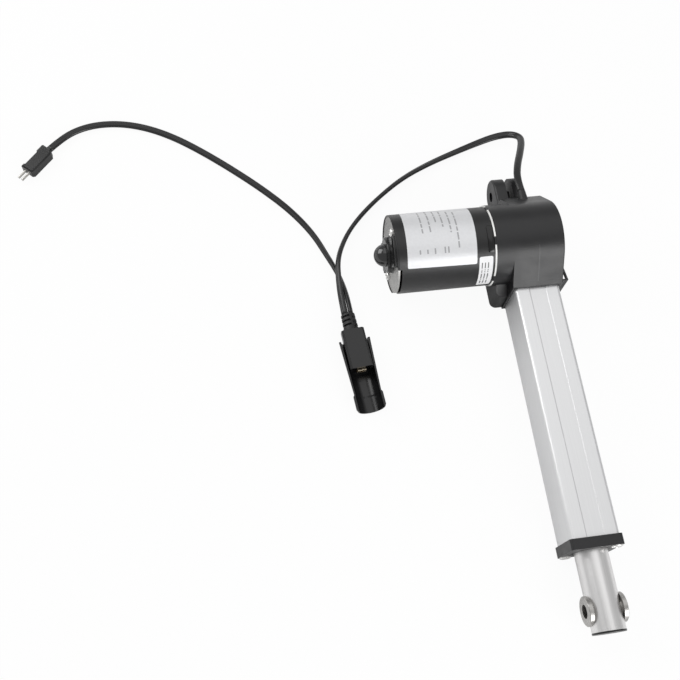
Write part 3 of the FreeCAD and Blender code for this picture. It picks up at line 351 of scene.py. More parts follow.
# %% Metals
ALONG_TUBE = (1, 0.012, 1)
ALONG_MOTOR = (0.012, 1, 1)
anodised_tube = drawn_metal("anodised_tube", (0.78, 0.782, 0.788), 0.42, ALONG_TUBE)
satin_rod = drawn_metal("satin_rod", (0.8, 0.793, 0.79), 0.33, ALONG_TUBE, line_height=0.0000003)
oiled_steel = drawn_metal("oiled_steel", (0.4, 0.4, 0.41), 0.3, ALONG_TUBE)
ground_shaft = drawn_metal("ground_shaft", (0.5, 0.5, 0.51), 0.25, ALONG_MOTOR)
bright_zinc = plated_metal("bright_zinc", (0.86, 0.855, 0.84), 0.24)
pin_nickel = plated_metal("pin_nickel", (0.5, 0.49, 0.465), 0.28)
plain_plate = plated_metal("plain_plate", (0.48, 0.475, 0.465), 0.42)
bush_steel = plated_metal("bush_steel", (0.46, 0.45, 0.435), 0.3)
bearing_chrome = plated_metal("bearing_chrome", (0.66, 0.66, 0.67), 0.16)
contact_plate = plated_metal("contact_plate", (0.78, 0.68, 0.52), 0.25)
bronze = plated_metal("bronze", (0.5, 0.33, 0.17), 0.42)
copper = plated_metal("copper", (0.62, 0.27, 0.14), 0.35)
ferrite = plated_metal("ferrite", (0.09, 0.09, 0.095), 0.6)
core_steel = plated_metal("core_steel", (0.2, 0.2, 0.21), 0.5)
motor_paint = sprayed_paint("motor_paint", (0.007, 0.007, 0.0075), 0.34)
print("metals ready")

# %% [markdown]
# ## Which piece has which finish
# A CAD piece keeps its mesh and only gets a material. One table from finish to pieces is easier to check
# than an assignment in many places, and a last look finds any piece that the table forgets.

# %% Table of finishes
FINISHES = {
    housing_plastic: ["gear_housing", "tube_end_cap"],
    black_plastic: ["plug_body", "limit_switches"],
    socket_plastic: ["socket_body", "socket_shell"],
    gloss_black: ["brush_bridge"],
    dome_gloss: ["shaft_cap"],
    white_plastic: ["adapter_ring"],
    natural_plastic: ["rod_guide_bush", "spindle_end_ring", "worm_wheel", "drive_nut"],
    black_rubber: ["rod_wiper", "cable_boot", "socket_strain_relief"],
    lead_sheath: ["motor_cable", "plug_cable"],
    pressed_carbon: ["brushes"],
    board_lacquer: ["limit_switch_board"],
    anodised_tube: ["outer_tube"],
    satin_rod: ["rod_tube"],
    oiled_steel: ["spindle", "wheel_circlip"],
    ground_shaft: ["armature_shaft", "worm"],
    bright_zinc: ["end_cap_screws", "motor_end_screws", "spindle_lock_nut", "spindle_end_screw"],
    pin_nickel: ["plug_pins"],
    bush_steel: ["rod_bush"],
    plain_plate: ["motor_front_plate", "motor_end_plate", "spindle_bearing_plate"],
    bearing_chrome: ["front_bearing", "rear_bearing", "spindle_bearing"],
    contact_plate: ["socket_contacts", "brush_springs"],
    bronze: ["worm_end_bush"],
    copper: ["armature_windings", "commutator"],
    ferrite: ["motor_magnets"],
    core_steel: ["armature_core"],
    motor_paint: ["motor_can"],
}
for material, names in FINISHES.items():
    for name in names:
        nodes[name].material_slots[0].material = material
undressed = set(nodes) - {name for names in FINISHES.values() for name in names}
print("pieces without a finish:", sorted(undressed))

# %% [markdown]
# ## Strain relief
# Where the leads enter the socket, a rubber sleeve with slots let in from two sides in turn bends with
# them. Building each slot's walls face by face would be slow. Spinning one outline gives the plain
# sleeve, and a boolean cuts the slots: each cutter is a small rectangle swept part of the way round.

# %% Spun and swept shapes
WELD_DISTANCE = 1e-6


def turned(outline, steps):
    """Spins an outline of radius and height all the way round the upright axis."""
    shape = bmesh.new()
    verts = [shape.verts.new((radius, 0, height)) for radius, height in outline]
    for first, second in zip(verts, verts[1:]):
        shape.edges.new((first, second))
    bmesh.ops.spin(shape, geom=shape.verts[:] + shape.edges[:], cent=(0, 0, 0), axis=(0, 0, 1),
                   angle=2 * math.pi, steps=steps, use_merge=True)
    bmesh.ops.remove_doubles(shape, verts=shape.verts, dist=WELD_DISTANCE)
    bmesh.ops.recalc_face_normals(shape, faces=shape.faces)
    return shape


def swept(outline, start, sweep, steps):
    """Sweeps a closed outline of radius and height part of the way round, by angles in degrees."""
    shape = bmesh.new()
    face = shape.faces.new([shape.verts.new((radius, 0, height)) for radius, height in outline])
    turn = Matrix.Rotation(math.radians(start), 3, "Z")
    bmesh.ops.rotate(shape, verts=shape.verts, cent=(0, 0, 0), matrix=turn)
    bmesh.ops.spin(shape, geom=[face], cent=(0, 0, 0), axis=(0, 0, 1), angle=math.radians(sweep),
                   steps=steps)
    bmesh.ops.recalc_face_normals(shape, faces=shape.faces)
    return shape


def placed(shape, place, turn):
    """Turns a shape and moves it to its place."""
    bmesh.ops.transform(shape, verts=shape.verts, matrix=Matrix.Translation(place) @ turn)
    return shape


# %% Joined and carved shapes
def joined(shapes):
    """Puts several shapes into one."""
    whole = bmesh.new()
    for shape in shapes:
        mesh = bpy.data.meshes.new("loose")
        shape.to_mesh(mesh)
        shape.free()
        whole.from_mesh(mesh)
        bpy.data.meshes.remove(mesh)
    return whole


def carved(name, shape, tool):
    """Cuts one closed shape out of another."""
    blank = link_mesh(name + "_blank", shape)
    cutter = link_mesh(name + "_cutter", tool)
    difference = blank.modifiers.new("cut", "BOOLEAN")
    difference.object = cutter
    bpy.context.view_layer.update()
    mesh = bpy.data.meshes.new_from_object(blank.evaluated_get(bpy.context.evaluated_depsgraph_get()))
    bpy.data.objects.remove(blank)
    bpy.data.objects.remove(cutter)
    result = bmesh.new()
    result.from_mesh(mesh)
    return result


# %% Finished pieces
SHARP_EDGE = math.radians(35)


def smooth(piece):
    """Shades a piece smooth, with its sharp edges left sharp."""
    piece.data.shade_smooth()
    piece.data.set_sharp_from_angle(angle=SHARP_EDGE)


def dress(piece, material, body="housing"):
    """Gives a new piece its finish and the body that it rides on."""
    piece.data.materials.append(material)
    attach(piece, body)
    print(piece.name, "on the", body + ",", len(piece.data.polygons), "faces")


# %% Slotted relief
RELIEF_START = Vector((-0.1494, -0.0919, -0.01))
RELIEF_TURN = math.radians(5.2)
RELIEF_LENGTH = 0.0153
RELIEF_TIP = 0.0057
RELIEF_ROOT = 0.0062
TIP_ROUND = 0.0004
ROUND_STEPS = 64
SLOT_COUNT = 3
SLOT_WIDTH = 0.0018
SLOT_DEPTH = 0.0018
SLOT_STEPS = 32
FIRST_SLOT = 0.45
# Each row has its side and sweep in degrees, and begins late by a share of the step between slots.
LEFT_SLOTS = {"side": 180, "sweep": 190, "late": 0.0}
RIGHT_SLOTS = {"side": 0, "sweep": 130, "late": 0.5}
TO_ROD_END = Matrix.Rotation(math.radians(90), 4, "X")


def relief_slots():
    """Cutters on the left and, half a step further on, on the right."""
    step = RELIEF_LENGTH / (SLOT_COUNT + 1)
    inner, outer = RELIEF_TIP - SLOT_DEPTH, 2 * RELIEF_ROOT
    slots = []
    for index in range(SLOT_COUNT):
        for row in (LEFT_SLOTS, RIGHT_SLOTS):
            low = step * (index + FIRST_SLOT + row["late"])
            high = low + SLOT_WIDTH
            ring = [(inner, low), (outer, low), (outer, high), (inner, high)]
            slots.append(swept(ring, row["side"] - row["sweep"] / 2, row["sweep"], SLOT_STEPS))
    return joined(slots)


sleeve = turned([(0, 0), (RELIEF_TIP - TIP_ROUND, 0), (RELIEF_TIP, TIP_ROUND), (RELIEF_ROOT, RELIEF_LENGTH),
                 (0, RELIEF_LENGTH)], ROUND_STEPS)
along_socket = Matrix.Rotation(RELIEF_TURN, 4, "Z") @ TO_ROD_END
relief_shape = placed(carved("sleeve", sleeve, relief_slots()), RELIEF_START, along_socket)
slotted_relief = link_mesh("slotted_relief", relief_shape)
smooth(slotted_relief)
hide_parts("socket_strain_relief")
dress(slotted_relief, black_rubber)

# %% [markdown]
# ## Leads
# Both leads are flat twin cables, two cores side by side in one sheath. A round bevel along a curve is
# the quick way to a cable, but a round section can't show how a flat lead turns over where it is bent
# sideways. So a flat section is swept along a smooth NURBS line near the CAD route's points, and a twist
# at each point turns its flat side up or on edge.

# %% Lead section
LEAD_WIDTH = 0.0062
LEAD_THICKNESS = 0.0041
GROOVE_SHARE = 0.16
GROOVE_WIDTH = 0.0008
SECTION_POINTS = 32


def twin_section():
    """The outline of two cores in one sheath, with a shallow groove between them."""
    data = bpy.data.curves.new("twin_section", "CURVE")
    data.dimensions = "2D"
    outline = data.splines.new("POLY")
    outline.points.add(SECTION_POINTS - 1)
    for index, point in enumerate(outline.points):
        angle = 2 * math.pi * index / SECTION_POINTS
        across = LEAD_WIDTH / 2 * math.cos(angle)
        groove = 1 - GROOVE_SHARE * math.exp(-(across / GROOVE_WIDTH) ** 2)
        point.co = (across, LEAD_THICKNESS / 2 * math.sin(angle) * groove, 0, 1)
    outline.use_cyclic_u = True
    section = bpy.data.objects.new("twin_section", data)
    scene.collection.objects.link(section)
    return section


# %% Lead line
def twist_at(twists, share):
    """Reads a row of evenly spread angles part of the way along it."""
    place = share * (len(twists) - 1)
    before = min(int(place), len(twists) - 2)
    return twists[before] + (twists[before + 1] - twists[before]) * (place - before)


def lead_line(name, route, twists):
    """A smooth line near the route's points, twisted by angles in degrees."""
    data = bpy.data.curves.new(name, "CURVE")
    data.dimensions = "3D"
    data.twist_mode = "Z_UP"
    spline = data.splines.new("NURBS")
    spline.points.add(len(route) - 1)
    for index, (point, place) in enumerate(zip(spline.points, route)):
        point.co = (*place, 1)
        point.tilt = math.radians(twist_at(twists, index / (len(route) - 1)))
    spline.order_u = 3
    spline.use_endpoint_u = True
    spline.resolution_u = 10
    line = bpy.data.objects.new(name + "_line", data)
    scene.collection.objects.link(line)
    bpy.context.view_layer.update()
    return line


# %% Lead sweep
def flat_lead(name, route, twists):
    """Sweeps the flat section along the route. Returns the piece and the points of its line."""
    line = lead_line(name, route, twists)
    path = [vert.co.copy() for vert in bpy.data.meshes.new_from_object(line).vertices]
    section = twin_section()
    line.data.bevel_mode = "OBJECT"
    line.data.bevel_object = section
    line.data.use_fill_caps = True
    bpy.context.view_layer.update()
    sheath = bpy.data.meshes.new_from_object(line.evaluated_get(bpy.context.evaluated_depsgraph_get()))
    bpy.data.objects.remove(line)
    bpy.data.objects.remove(section)
    shape = bmesh.new()
    shape.from_mesh(sheath)
    bmesh.ops.remove_doubles(shape, verts=shape.verts, dist=WELD_DISTANCE)
    bmesh.ops.recalc_face_normals(shape, faces=shape.faces)
    piece = link_mesh(name, shape)
    piece.data.shade_smooth()
    length = sum((end - start).length for start, end in zip(path, path[1:]))
    print(name, "is", round(length, 4), "m long")
    return piece, path


# %% Motor lead
MOTOR_LEAD = [
    (0.0057, -0.011, 0.0255),
    (0.0051, 0.002, 0.0238),
    (0.0104, 0.0188, 0.018),
    (0.0186, 0.036, 0.0095),
    (0.0256, 0.052, 0.0005),
    (0.0278, 0.0621, -0.0055),
    (0.0212, 0.0693, -0.011),
    (0.008, 0.0703, -0.015),
    (-0.0076, 0.0665, -0.0168),
    (-0.0279, 0.0595, -0.0171),
    (-0.0546, 0.0496, -0.0171),
    (-0.0808, 0.0371, -0.017),
    (-0.1034, 0.021, -0.017),
    (-0.1223, 0.0046, -0.017),
    (-0.1364, -0.0114, -0.0166),
    (-0.1458, -0.0278, -0.015),
    (-0.1509, -0.043, -0.0115),
    (-0.1523, -0.0585, -0.0104),
    (-0.1526, -0.0756, -0.0101),
    (-0.1515, -0.0921, -0.01),
]
MOTOR_LEAD_TWISTS = (0, -10, -18, 32, 80, 75, 40)
motor_lead, motor_path = flat_lead("motor_lead", MOTOR_LEAD, MOTOR_LEAD_TWISTS)
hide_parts("motor_cable")
dress(motor_lead, lead_sheath)

# %% Plug lead
PLUG_LEAD = [
    (-0.1465, -0.0916, -0.01),
    (-0.147, -0.0782, -0.0113),
    (-0.1485, -0.063, -0.0154),
    (-0.1519, -0.0485, -0.0172),
    (-0.1581, -0.033, -0.0175),
    (-0.1676, -0.0101, -0.0175),
    (-0.1842, 0.0142, -0.0175),
    (-0.2058, 0.0373, -0.0175),
    (-0.2309, 0.0604, -0.0175),
    (-0.2552, 0.0807, -0.0175),
    (-0.2768, 0.0965, -0.0175),
    (-0.2983, 0.1081, -0.0175),
    (-0.3199, 0.1149, -0.0175),
    (-0.341, 0.1164, -0.0175),
    (-0.359, 0.1126, -0.0172),
    (-0.3734, 0.104, -0.0163),
    (-0.3851, 0.0923, -0.0155),
]
PLUG_LEAD_TWISTS = (75, 60, 8, 0, 0, 0)
plug_lead, plug_path = flat_lead("plug_lead", PLUG_LEAD, PLUG_LEAD_TWISTS)
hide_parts("plug_cable")
dress(plug_lead, lead_sheath)

# %% [markdown]
# ## Labels on the motor
# A silver rating label and a small white one are stuck round the motor's can, with printed rules on them.
# A pattern in the can's paint could show them, but a label has an edge and a gloss of its own. So each
# starts as a flat sheet: a vertex bevel rounds its corners, cuts across it let it bend, and solidify
# gives it a thickness. Then each point is rolled round the can: its x stays, and its y becomes the way
# round, measured from the top of the can towards the front.

# %% Flat sheets
CUT_STEP = 0.0015
SHEET_CORNER_SEGMENTS = 4


def rounded(shape, items, radius, segments, affect):
    """Rounds some of a shape's corners or edges."""
    bmesh.ops.bevel(shape, geom=items, offset=radius, segments=segments, profile=0.5, affect=affect,
                    material=-1)


def flat_sheet(low, high, corner, thickness, skew=0.0):
    """A flat sheet between two corners, rounded, cut into strips and turned askew by degrees."""
    shape = bmesh.new()
    bmesh.ops.create_grid(shape, x_segments=1, y_segments=1, size=0.5)
    middle = ((low[0] + high[0]) / 2, (low[1] + high[1]) / 2, 0)
    bmesh.ops.scale(shape, verts=shape.verts, vec=(high[0] - low[0], high[1] - low[1], 1))
    bmesh.ops.translate(shape, verts=shape.verts, vec=middle)
    rounded(shape, shape.verts, corner, SHEET_CORNER_SEGMENTS, "VERTICES")
    for index in range(1, int((high[1] - low[1]) / CUT_STEP)):
        everything = shape.verts[:] + shape.edges[:] + shape.faces[:]
        bmesh.ops.bisect_plane(shape, geom=everything, plane_co=(0, low[1] + index * CUT_STEP, 0),
                               plane_no=(0, 1, 0))
    turn = Matrix.Rotation(math.radians(skew), 3, "Z")
    bmesh.ops.rotate(shape, verts=shape.verts, cent=middle, matrix=turn)
    bmesh.ops.solidify(shape, geom=shape.faces[:], thickness=thickness)
    bmesh.ops.recalc_face_normals(shape, faces=shape.faces)
    return shape


# %% Rolled round the can
CAN_RADIUS = 0.032
CAN_MIDDLE_Y = -0.0548
CAN_MIDDLE_Z = 0.0175
LABEL_LIFT = 0.00002


def round_the_can(degrees):
    """The length of paint that an angle round the can covers."""
    return math.radians(degrees) * CAN_RADIUS


def on_can(along, degrees):
    """A flat sheet's point for a place along the can and an angle round it."""
    return along, round_the_can(degrees)


def wrap_on_can(name, shape, lift, material):
    """Rolls a flat sheet round the can, a little above its paint."""
    lowest = min(vert.co.z for vert in shape.verts)
    for vert in shape.verts:
        turn = vert.co.y / CAN_RADIUS
        radius = CAN_RADIUS + lift + vert.co.z - lowest
        vert.co.y = CAN_MIDDLE_Y - radius * math.sin(turn)
        vert.co.z = CAN_MIDDLE_Z + radius * math.cos(turn)
    # Rolling mirrors the sheet, so its faces are turned back outwards.
    bmesh.ops.reverse_faces(shape, faces=shape.faces)
    piece = link_mesh(name, shape)
    smooth(piece)
    dress(piece, material)


# %% Label stock
def coated_film(name, color, roughness, metallic=0.0):
    """Printed film: an even coat with a very fine grain."""
    material = new_finish(name, color, roughness, metallic)
    grain = speckle(material, scale=500, detail=3)
    tint(material, grain, color, darkest=0.97, lightest=1.02)
    roughen(material, grain, smoothest=roughness - 0.01, roughest=roughness + 0.02)
    return material


silver_film = coated_film("silver_film", (0.7, 0.705, 0.72), 0.3, metallic=0.14)
white_film = coated_film("white_film", (0.84, 0.84, 0.85), 0.4)
grey_ink = coated_film("grey_ink", (0.36, 0.36, 0.37), 0.4)
black_ink = coated_film("black_ink", (0.08, 0.08, 0.085), 0.4)
print("films and inks ready")

# %% Broken rules
FILM = 0.00008
INK = 0.00002
DASH_STEPS = (9, 5, 13, 7, 11)
DASH_GAP = 2.2
DASH_CORNER = 0.2


def broken_rule(along, start, end, width, skew):
    """A rule round the can, broken into dashes of uneven length, as askew as its label."""
    dashes = []
    angle = start
    while angle < end:
        step = DASH_STEPS[len(dashes) % len(DASH_STEPS)]
        low = on_can(along - width / 2, angle)
        high = on_can(along + width / 2, min(angle + step, end))
        if high[1] - low[1] > width:
            dashes.append(flat_sheet(low, high, width * DASH_CORNER, INK))
        angle += step + DASH_GAP
        along -= math.sin(math.radians(skew)) * round_the_can(step + DASH_GAP)
    return dashes


# %% Rating label
RATING_LOW = on_can(-0.103, -75)
RATING_HIGH = on_can(-0.0474, 49.8)
RATING_CORNER = 0.0012
RATING_SKEW = 1.1
RATING_RULE_WIDTH = 0.0012
# Each rule has a place along the can in metres, and a start and an end round it in degrees.
RATING_RULES = [
    (-0.0889, -50, 0),
    (-0.0825, -54, -1),
    (-0.077, -49, -17),
    (-0.072, -46, -8),
    (-0.0663, -43, 2),
    (-0.0613, -40, 27),
    (-0.0932, 24, 30),
    (-0.0872, 24, 30),
    (-0.0812, 23, 31),
    (-0.0733, 22, 31),
    (-0.0705, 22, 31),
]
wrap_on_can("rating_label", flat_sheet(RATING_LOW, RATING_HIGH, RATING_CORNER, FILM, RATING_SKEW),
            LABEL_LIFT, silver_film)
rating_dashes = []
for along, start, end in RATING_RULES:
    rating_dashes += broken_rule(along, start, end, RATING_RULE_WIDTH, RATING_SKEW)
wrap_on_can("rating_rules", joined(rating_dashes), LABEL_LIFT + FILM, grey_ink)

# %% Small label
BATCH_LOW = on_can(-0.046, 41)
BATCH_HIGH = on_can(-0.0349, 97.5)
BATCH_CORNER = 0.0014
BATCH_SKEW = -0.7
BATCH_RULE_WIDTH = 0.0008
BATCH_RULE_START = 50
BATCH_RULE_END = 92
BATCH_RULES = (-0.0438, -0.0413, -0.0388)
wrap_on_can("batch_label", flat_sheet(BATCH_LOW, BATCH_HIGH, BATCH_CORNER, FILM, BATCH_SKEW),
            LABEL_LIFT, white_film)
batch_dashes = []
for along in BATCH_RULES:
    batch_dashes += broken_rule(along, BATCH_RULE_START, BATCH_RULE_END, BATCH_RULE_WIDTH, BATCH_SKEW)
wrap_on_can("batch_rules", joined(batch_dashes), LABEL_LIFT + FILM, black_ink)

# %% [markdown]
# ## Seam of the can
# The can is rolled from sheet. Beside the white ring a small painted plate locks the seam, with a punch
# mark in it. Cutting the plate's outline into the can's mesh would disturb its round shading, so the
# plate is one more sheet rolled round the can. A bevel breaks its upper edge, because a broken edge
# catches the light.

# %% Seam lock
LOCK_LOW = on_can(-0.0386, -3)
LOCK_HIGH = on_can(-0.0337, 36)
LOCK_CORNER = 0.0013
LOCK_THICKNESS = 0.0006
LOCK_EDGE = 0.0003
LOCK_EDGE_SEGMENTS = 2
RIM_ANGLE = math.radians(57)
# Darker than the can's paint: painted shade on the lock plate. Its gloss is the plate's own.
lock_shaded_paint = sprayed_paint("lock_shaded_paint", (0.003, 0.003, 0.0032), 0.2)


def break_upper_edge(shape, radius):
    """Rounds the edge round the upper side of a flat sheet."""
    heights = [vert.co.z for vert in shape.verts]
    middle = (min(heights) + max(heights)) / 2
    rim = [edge for edge in shape.edges
           if edge.calc_face_angle(0) > RIM_ANGLE and min(vert.co.z for vert in edge.verts) > middle]
    rounded(shape, rim, radius, LOCK_EDGE_SEGMENTS, "EDGES")


lock_shape = flat_sheet(LOCK_LOW, LOCK_HIGH, LOCK_CORNER, LOCK_THICKNESS)
break_upper_edge(lock_shape, LOCK_EDGE)
wrap_on_can("seam_lock", lock_shape, LABEL_LIFT, lock_shaded_paint)

# %% Punch mark
PUNCH_LOW = on_can(-0.0378, 25)
PUNCH_HIGH = on_can(-0.0366, 27.2)
PUNCH_CORNER = 0.00055
# A small black sheet on the plate stands for the punched dent: painted shade in the dent.
wrap_on_can("seam_punch_shade", flat_sheet(PUNCH_LOW, PUNCH_HIGH, PUNCH_CORNER, INK),
            LABEL_LIFT + LOCK_THICKNESS, gloss_black)

# %% [markdown]
# ## Screws
# The motor's end and the tube's cap are held by pan-head screws with a cross recess, and CAD has them as
# plain heads. A dark cross painted on would stay flat in a low light, so each head is turned from a
# rounded outline and a tapered cross is cut out of it.

# %% Cross punch
PUNCH_TAPER = 0.5
PUNCH_SINK = 0.62


def cross_punch(span, depth, top):
    """A tapered cross, as the point of a screwdriver leaves it."""
    shape = bmesh.new()
    bmesh.ops.create_grid(shape, x_segments=3, y_segments=3, size=span / 2)
    arm = span / 6
    corners = [face for face in shape.faces
               if min(abs(axis) for axis in face.calc_center_median().xy) > arm]
    bmesh.ops.delete(shape, geom=corners, context="FACES")
    bmesh.ops.solidify(shape, geom=shape.faces[:], thickness=depth)
    deep = min(vert.co.z for vert in shape.verts)
    bottom = [vert for vert in shape.verts if vert.co.z < deep + depth / 2]
    bmesh.ops.scale(shape, verts=bottom, vec=(PUNCH_TAPER, PUNCH_TAPER, 1))
    bmesh.ops.translate(shape, verts=shape.verts, vec=(0, 0, top - deep - depth * PUNCH_SINK))
    bmesh.ops.recalc_face_normals(shape, faces=shape.faces)
    return shape


# %% Cross-head screws
SCREW_STEPS = 40
HEAD_STEPS = 7
HEAD_FLATNESS = 0.55
HEAD_RIM = 0.25
CROSS_SPAN = 1.25
SHANK_TIP = 0.8
SHANK_STRAIGHT = 0.92


def screw(name, head_radius, head_height, shank_radius, shank_length):
    """A pan head with a cross recess, its underside at the origin and its shank down the axis."""
    outline = [(0, -shank_length), (shank_radius * SHANK_TIP, -shank_length),
               (shank_radius, -shank_length * SHANK_STRAIGHT), (shank_radius, 0), (head_radius, 0)]
    for step in range(HEAD_STEPS + 1):
        turn = math.radians(90 * step / HEAD_STEPS)
        outline.append((head_radius * math.cos(turn) ** HEAD_FLATNESS,
                        head_height * (HEAD_RIM + (1 - HEAD_RIM) * math.sin(turn))))
    punch = cross_punch(head_radius * CROSS_SPAN, head_height, head_height)
    return carved(name, turned(outline, SCREW_STEPS), punch)


def screw_set(name, shape, places, turn, node):
    """Copies one screw to each place, and stands in for the CAD node."""
    piece = link_mesh(name, joined([placed(shape.copy(), place, turn) for place in places]))
    shape.free()
    smooth(piece)
    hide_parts(node)
    dress(piece, bright_zinc)


# %% Motor end screws
PLATE_FACE_X = -0.111
SCREW_CIRCLE = 0.0242
SCREW_TILT = math.radians(18)
TO_MOTOR_END = Matrix.Rotation(math.radians(-90), 4, "Y")
motor_screw = screw("motor_screw", head_radius=0.0038, head_height=0.0026, shank_radius=0.002,
                    shank_length=0.006)
screw_y = SCREW_CIRCLE * math.sin(SCREW_TILT)
screw_z = SCREW_CIRCLE * math.cos(SCREW_TILT)
motor_screw_places = [Vector((PLATE_FACE_X, CAN_MIDDLE_Y + side * screw_y, CAN_MIDDLE_Z + side * screw_z))
                      for side in (1, -1)]
screw_set("motor_end_screws_dressed", motor_screw, motor_screw_places, TO_MOTOR_END, "motor_end_screws")

# %% End cap screws
CAP_FACE_Y = -0.305
SPINDLE_X = 0.0025
CAP_SCREW_X = 0.0152
CAP_SCREW_Z = 0.0152
cap_screw = screw("cap_screw", head_radius=0.0044, head_height=0.0016, shank_radius=0.0015,
                  shank_length=0.02)
cap_screw_places = [Vector((SPINDLE_X + side * CAP_SCREW_X, CAP_FACE_Y, side * CAP_SCREW_Z))
                    for side in (-1, 1)]
screw_set("end_cap_screws_dressed", cap_screw, cap_screw_places, TO_ROD_END, "end_cap_screws")

# %% [markdown]
# ## Motor end
# The can's edge is pressed into a thin bead round the end plate, open where the seam's notch is. The
# brush bridge ends in two low feet against that bead, and a collar with a round edge goes round its boss.
# All of it is round the motor's axis, so each piece is one outline of radius and height with arcs for its
# round edges: the bead and the feet are swept part of the way round, and the collar is spun all the way.

# %% On the motor's end
ARC_STEPS = 5


def arc(middle, radii, start, end):
    """Points of an outline along a round or oval arc, its angles in degrees."""
    across, up = radii
    turns = [math.radians(start + (end - start) * step / ARC_STEPS) for step in range(ARC_STEPS + 1)]
    return [(middle[0] + across * math.cos(turn), middle[1] + up * math.sin(turn)) for turn in turns]


def on_motor_end(name, shape, material):
    """Stands a shape on the motor's end plate, its axis along the motor's."""
    piece = link_mesh(name, placed(shape, (PLATE_FACE_X, CAN_MIDDLE_Y, CAN_MIDDLE_Z), TO_MOTOR_END))
    smooth(piece)
    dress(piece, material)


# %% Bead of the can
BEAD_INNER = 0.03102
BEAD_OUTER = 0.03197
BEAD_DEPTH = 0.0006
BEAD_HEIGHT = 0.0007
BEAD_ROUND = 0.0004
BEAD_STEPS = 140
NOTCH_START = 50
NOTCH_END = 130
bead_crest = BEAD_HEIGHT - BEAD_ROUND
bead_outline = [(BEAD_INNER, -BEAD_DEPTH), (BEAD_OUTER, -BEAD_DEPTH)]
bead_outline += arc((BEAD_OUTER - BEAD_ROUND, bead_crest), (BEAD_ROUND, BEAD_ROUND), 0, 90)
bead_outline += arc((BEAD_INNER + BEAD_ROUND, bead_crest), (BEAD_ROUND, BEAD_ROUND), 90, 180)
bead_sweep = 360 - NOTCH_END + NOTCH_START
bead_shape = swept(bead_outline, -NOTCH_START, bead_sweep, BEAD_STEPS)
on_motor_end("can_bead", bead_shape, motor_paint)

# %% Feet of the brush bridge
BRIDGE_TILT = 22
FOOT_HALF_ANGLE = 24
FOOT_INNER = 0.026
FOOT_OUTER = 0.03095
FOOT_HEIGHT = 0.0022
FOOT_ROUND = 0.0005
FOOT_GAP = 0.00002
FOOT_STEPS = 24
foot_outline = [(FOOT_INNER, FOOT_GAP), (FOOT_OUTER, FOOT_GAP)]
foot_outline += arc((FOOT_OUTER - FOOT_ROUND, FOOT_HEIGHT - FOOT_ROUND), (FOOT_ROUND, FOOT_ROUND), 0, 90)
foot_outline += [(FOOT_INNER, FOOT_HEIGHT)]
feet = [swept(foot_outline, side - BRIDGE_TILT - FOOT_HALF_ANGLE, 2 * FOOT_HALF_ANGLE, FOOT_STEPS)
        for side in (0, 180)]
on_motor_end("bridge_feet", joined(feet), gloss_black)

# %% Collar of the brush bridge
COLLAR_INNER = 0.0132
COLLAR_NECK = 0.0144
COLLAR_FOOT = 0.0152
COLLAR_GAP = 0.0001
COLLAR_WAIST = 0.0032
COLLAR_HEIGHT = 0.0047
flare = (COLLAR_FOOT - COLLAR_NECK, COLLAR_WAIST - COLLAR_GAP)
crown = (COLLAR_NECK - COLLAR_INNER, COLLAR_HEIGHT - COLLAR_WAIST)
collar_outline = [(COLLAR_INNER, COLLAR_GAP)]
collar_outline += arc((COLLAR_FOOT, COLLAR_WAIST), flare, 270, 180)
collar_outline += arc((COLLAR_INNER, COLLAR_WAIST), crown, 0, 90)
collar_outline += [(COLLAR_INNER, COLLAR_GAP)]
on_motor_end("bridge_collar", turned(collar_outline, ROUND_STEPS), gloss_black)

# %% [markdown]
# ## Tube
# The tube is an aluminium extrusion with rounded corners and a shallow band along its top and bottom. CAD
# gives the band plain steps. On the real tube its sides slope, and the slope that faces the left lamp is
# the bright line along the top. So the outline is drawn again with slopes: a dozen points make a face,
# vertex bevels round it, it is extruded to length, and a long block is cut out of it for the bore.

# %% Tube outline
TUBE_LOW, TUBE_HIGH = (Vector(corner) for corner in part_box("outer_tube"))
TUBE_SPAN = TUBE_HIGH - TUBE_LOW
BAND_HALF_WIDTH = 0.0066
BAND_SLOPE = 0.00045
BAND_DEPTH = 0.0003


def tube_outline():
    """Goes once round: the top from left to right, then the same points half a turn on."""
    half_width, half_height = TUBE_SPAN.x / 2, TUBE_SPAN.z / 2
    top = [(-half_width, half_height), (-BAND_HALF_WIDTH - BAND_SLOPE, half_height),
           (-BAND_HALF_WIDTH, half_height - BAND_DEPTH)]
    top += [(-x, z) for x, z in reversed(top)]
    return top + [(-x, -z) for x, z in top]


print("tube outline has", len(tube_outline()), "points")

# %% Tube solid
TUBE_CORNER = 0.0028
TUBE_CORNER_SEGMENTS = 12
BAND_EDGE = 0.0002
BAND_EDGE_SEGMENTS = 3


def extruded(shape, reach):
    """Extrudes a shape's faces, and returns the faces at the far end."""
    run = bmesh.ops.extrude_face_region(shape, geom=shape.faces[:], use_keep_orig=True)["geom"]
    far = [item for item in run if isinstance(item, bmesh.types.BMVert)]
    bmesh.ops.translate(shape, verts=far, vec=reach)
    return [item for item in run if isinstance(item, bmesh.types.BMFace)]


def tube_solid():
    """The outline, rounded and extruded to the tube's length."""
    shape = bmesh.new()
    shape.faces.new([shape.verts.new((SPINDLE_X + x, TUBE_LOW.y, z)) for x, z in tube_outline()])
    corners = [vert for vert in shape.verts if abs(vert.co.x - SPINDLE_X) > 2 * BAND_HALF_WIDTH]
    rounded(shape, corners, TUBE_CORNER, TUBE_CORNER_SEGMENTS, "VERTICES")
    band = [vert for vert in shape.verts if abs(vert.co.x - SPINDLE_X) < 2 * BAND_HALF_WIDTH]
    rounded(shape, band, BAND_EDGE, BAND_EDGE_SEGMENTS, "VERTICES")
    extruded(shape, (0, TUBE_SPAN.y, 0))
    bmesh.ops.recalc_face_normals(shape, faces=shape.faces)
    return shape


# %% Tube bore
TUBE_WALL = 0.0025
BORE_CORNER = 0.007
BORE_CORNER_SEGMENTS = 8
PORT_RADIUS = 0.0015
PORT_DEPTH = 0.013
PORT_SEGMENTS = 24


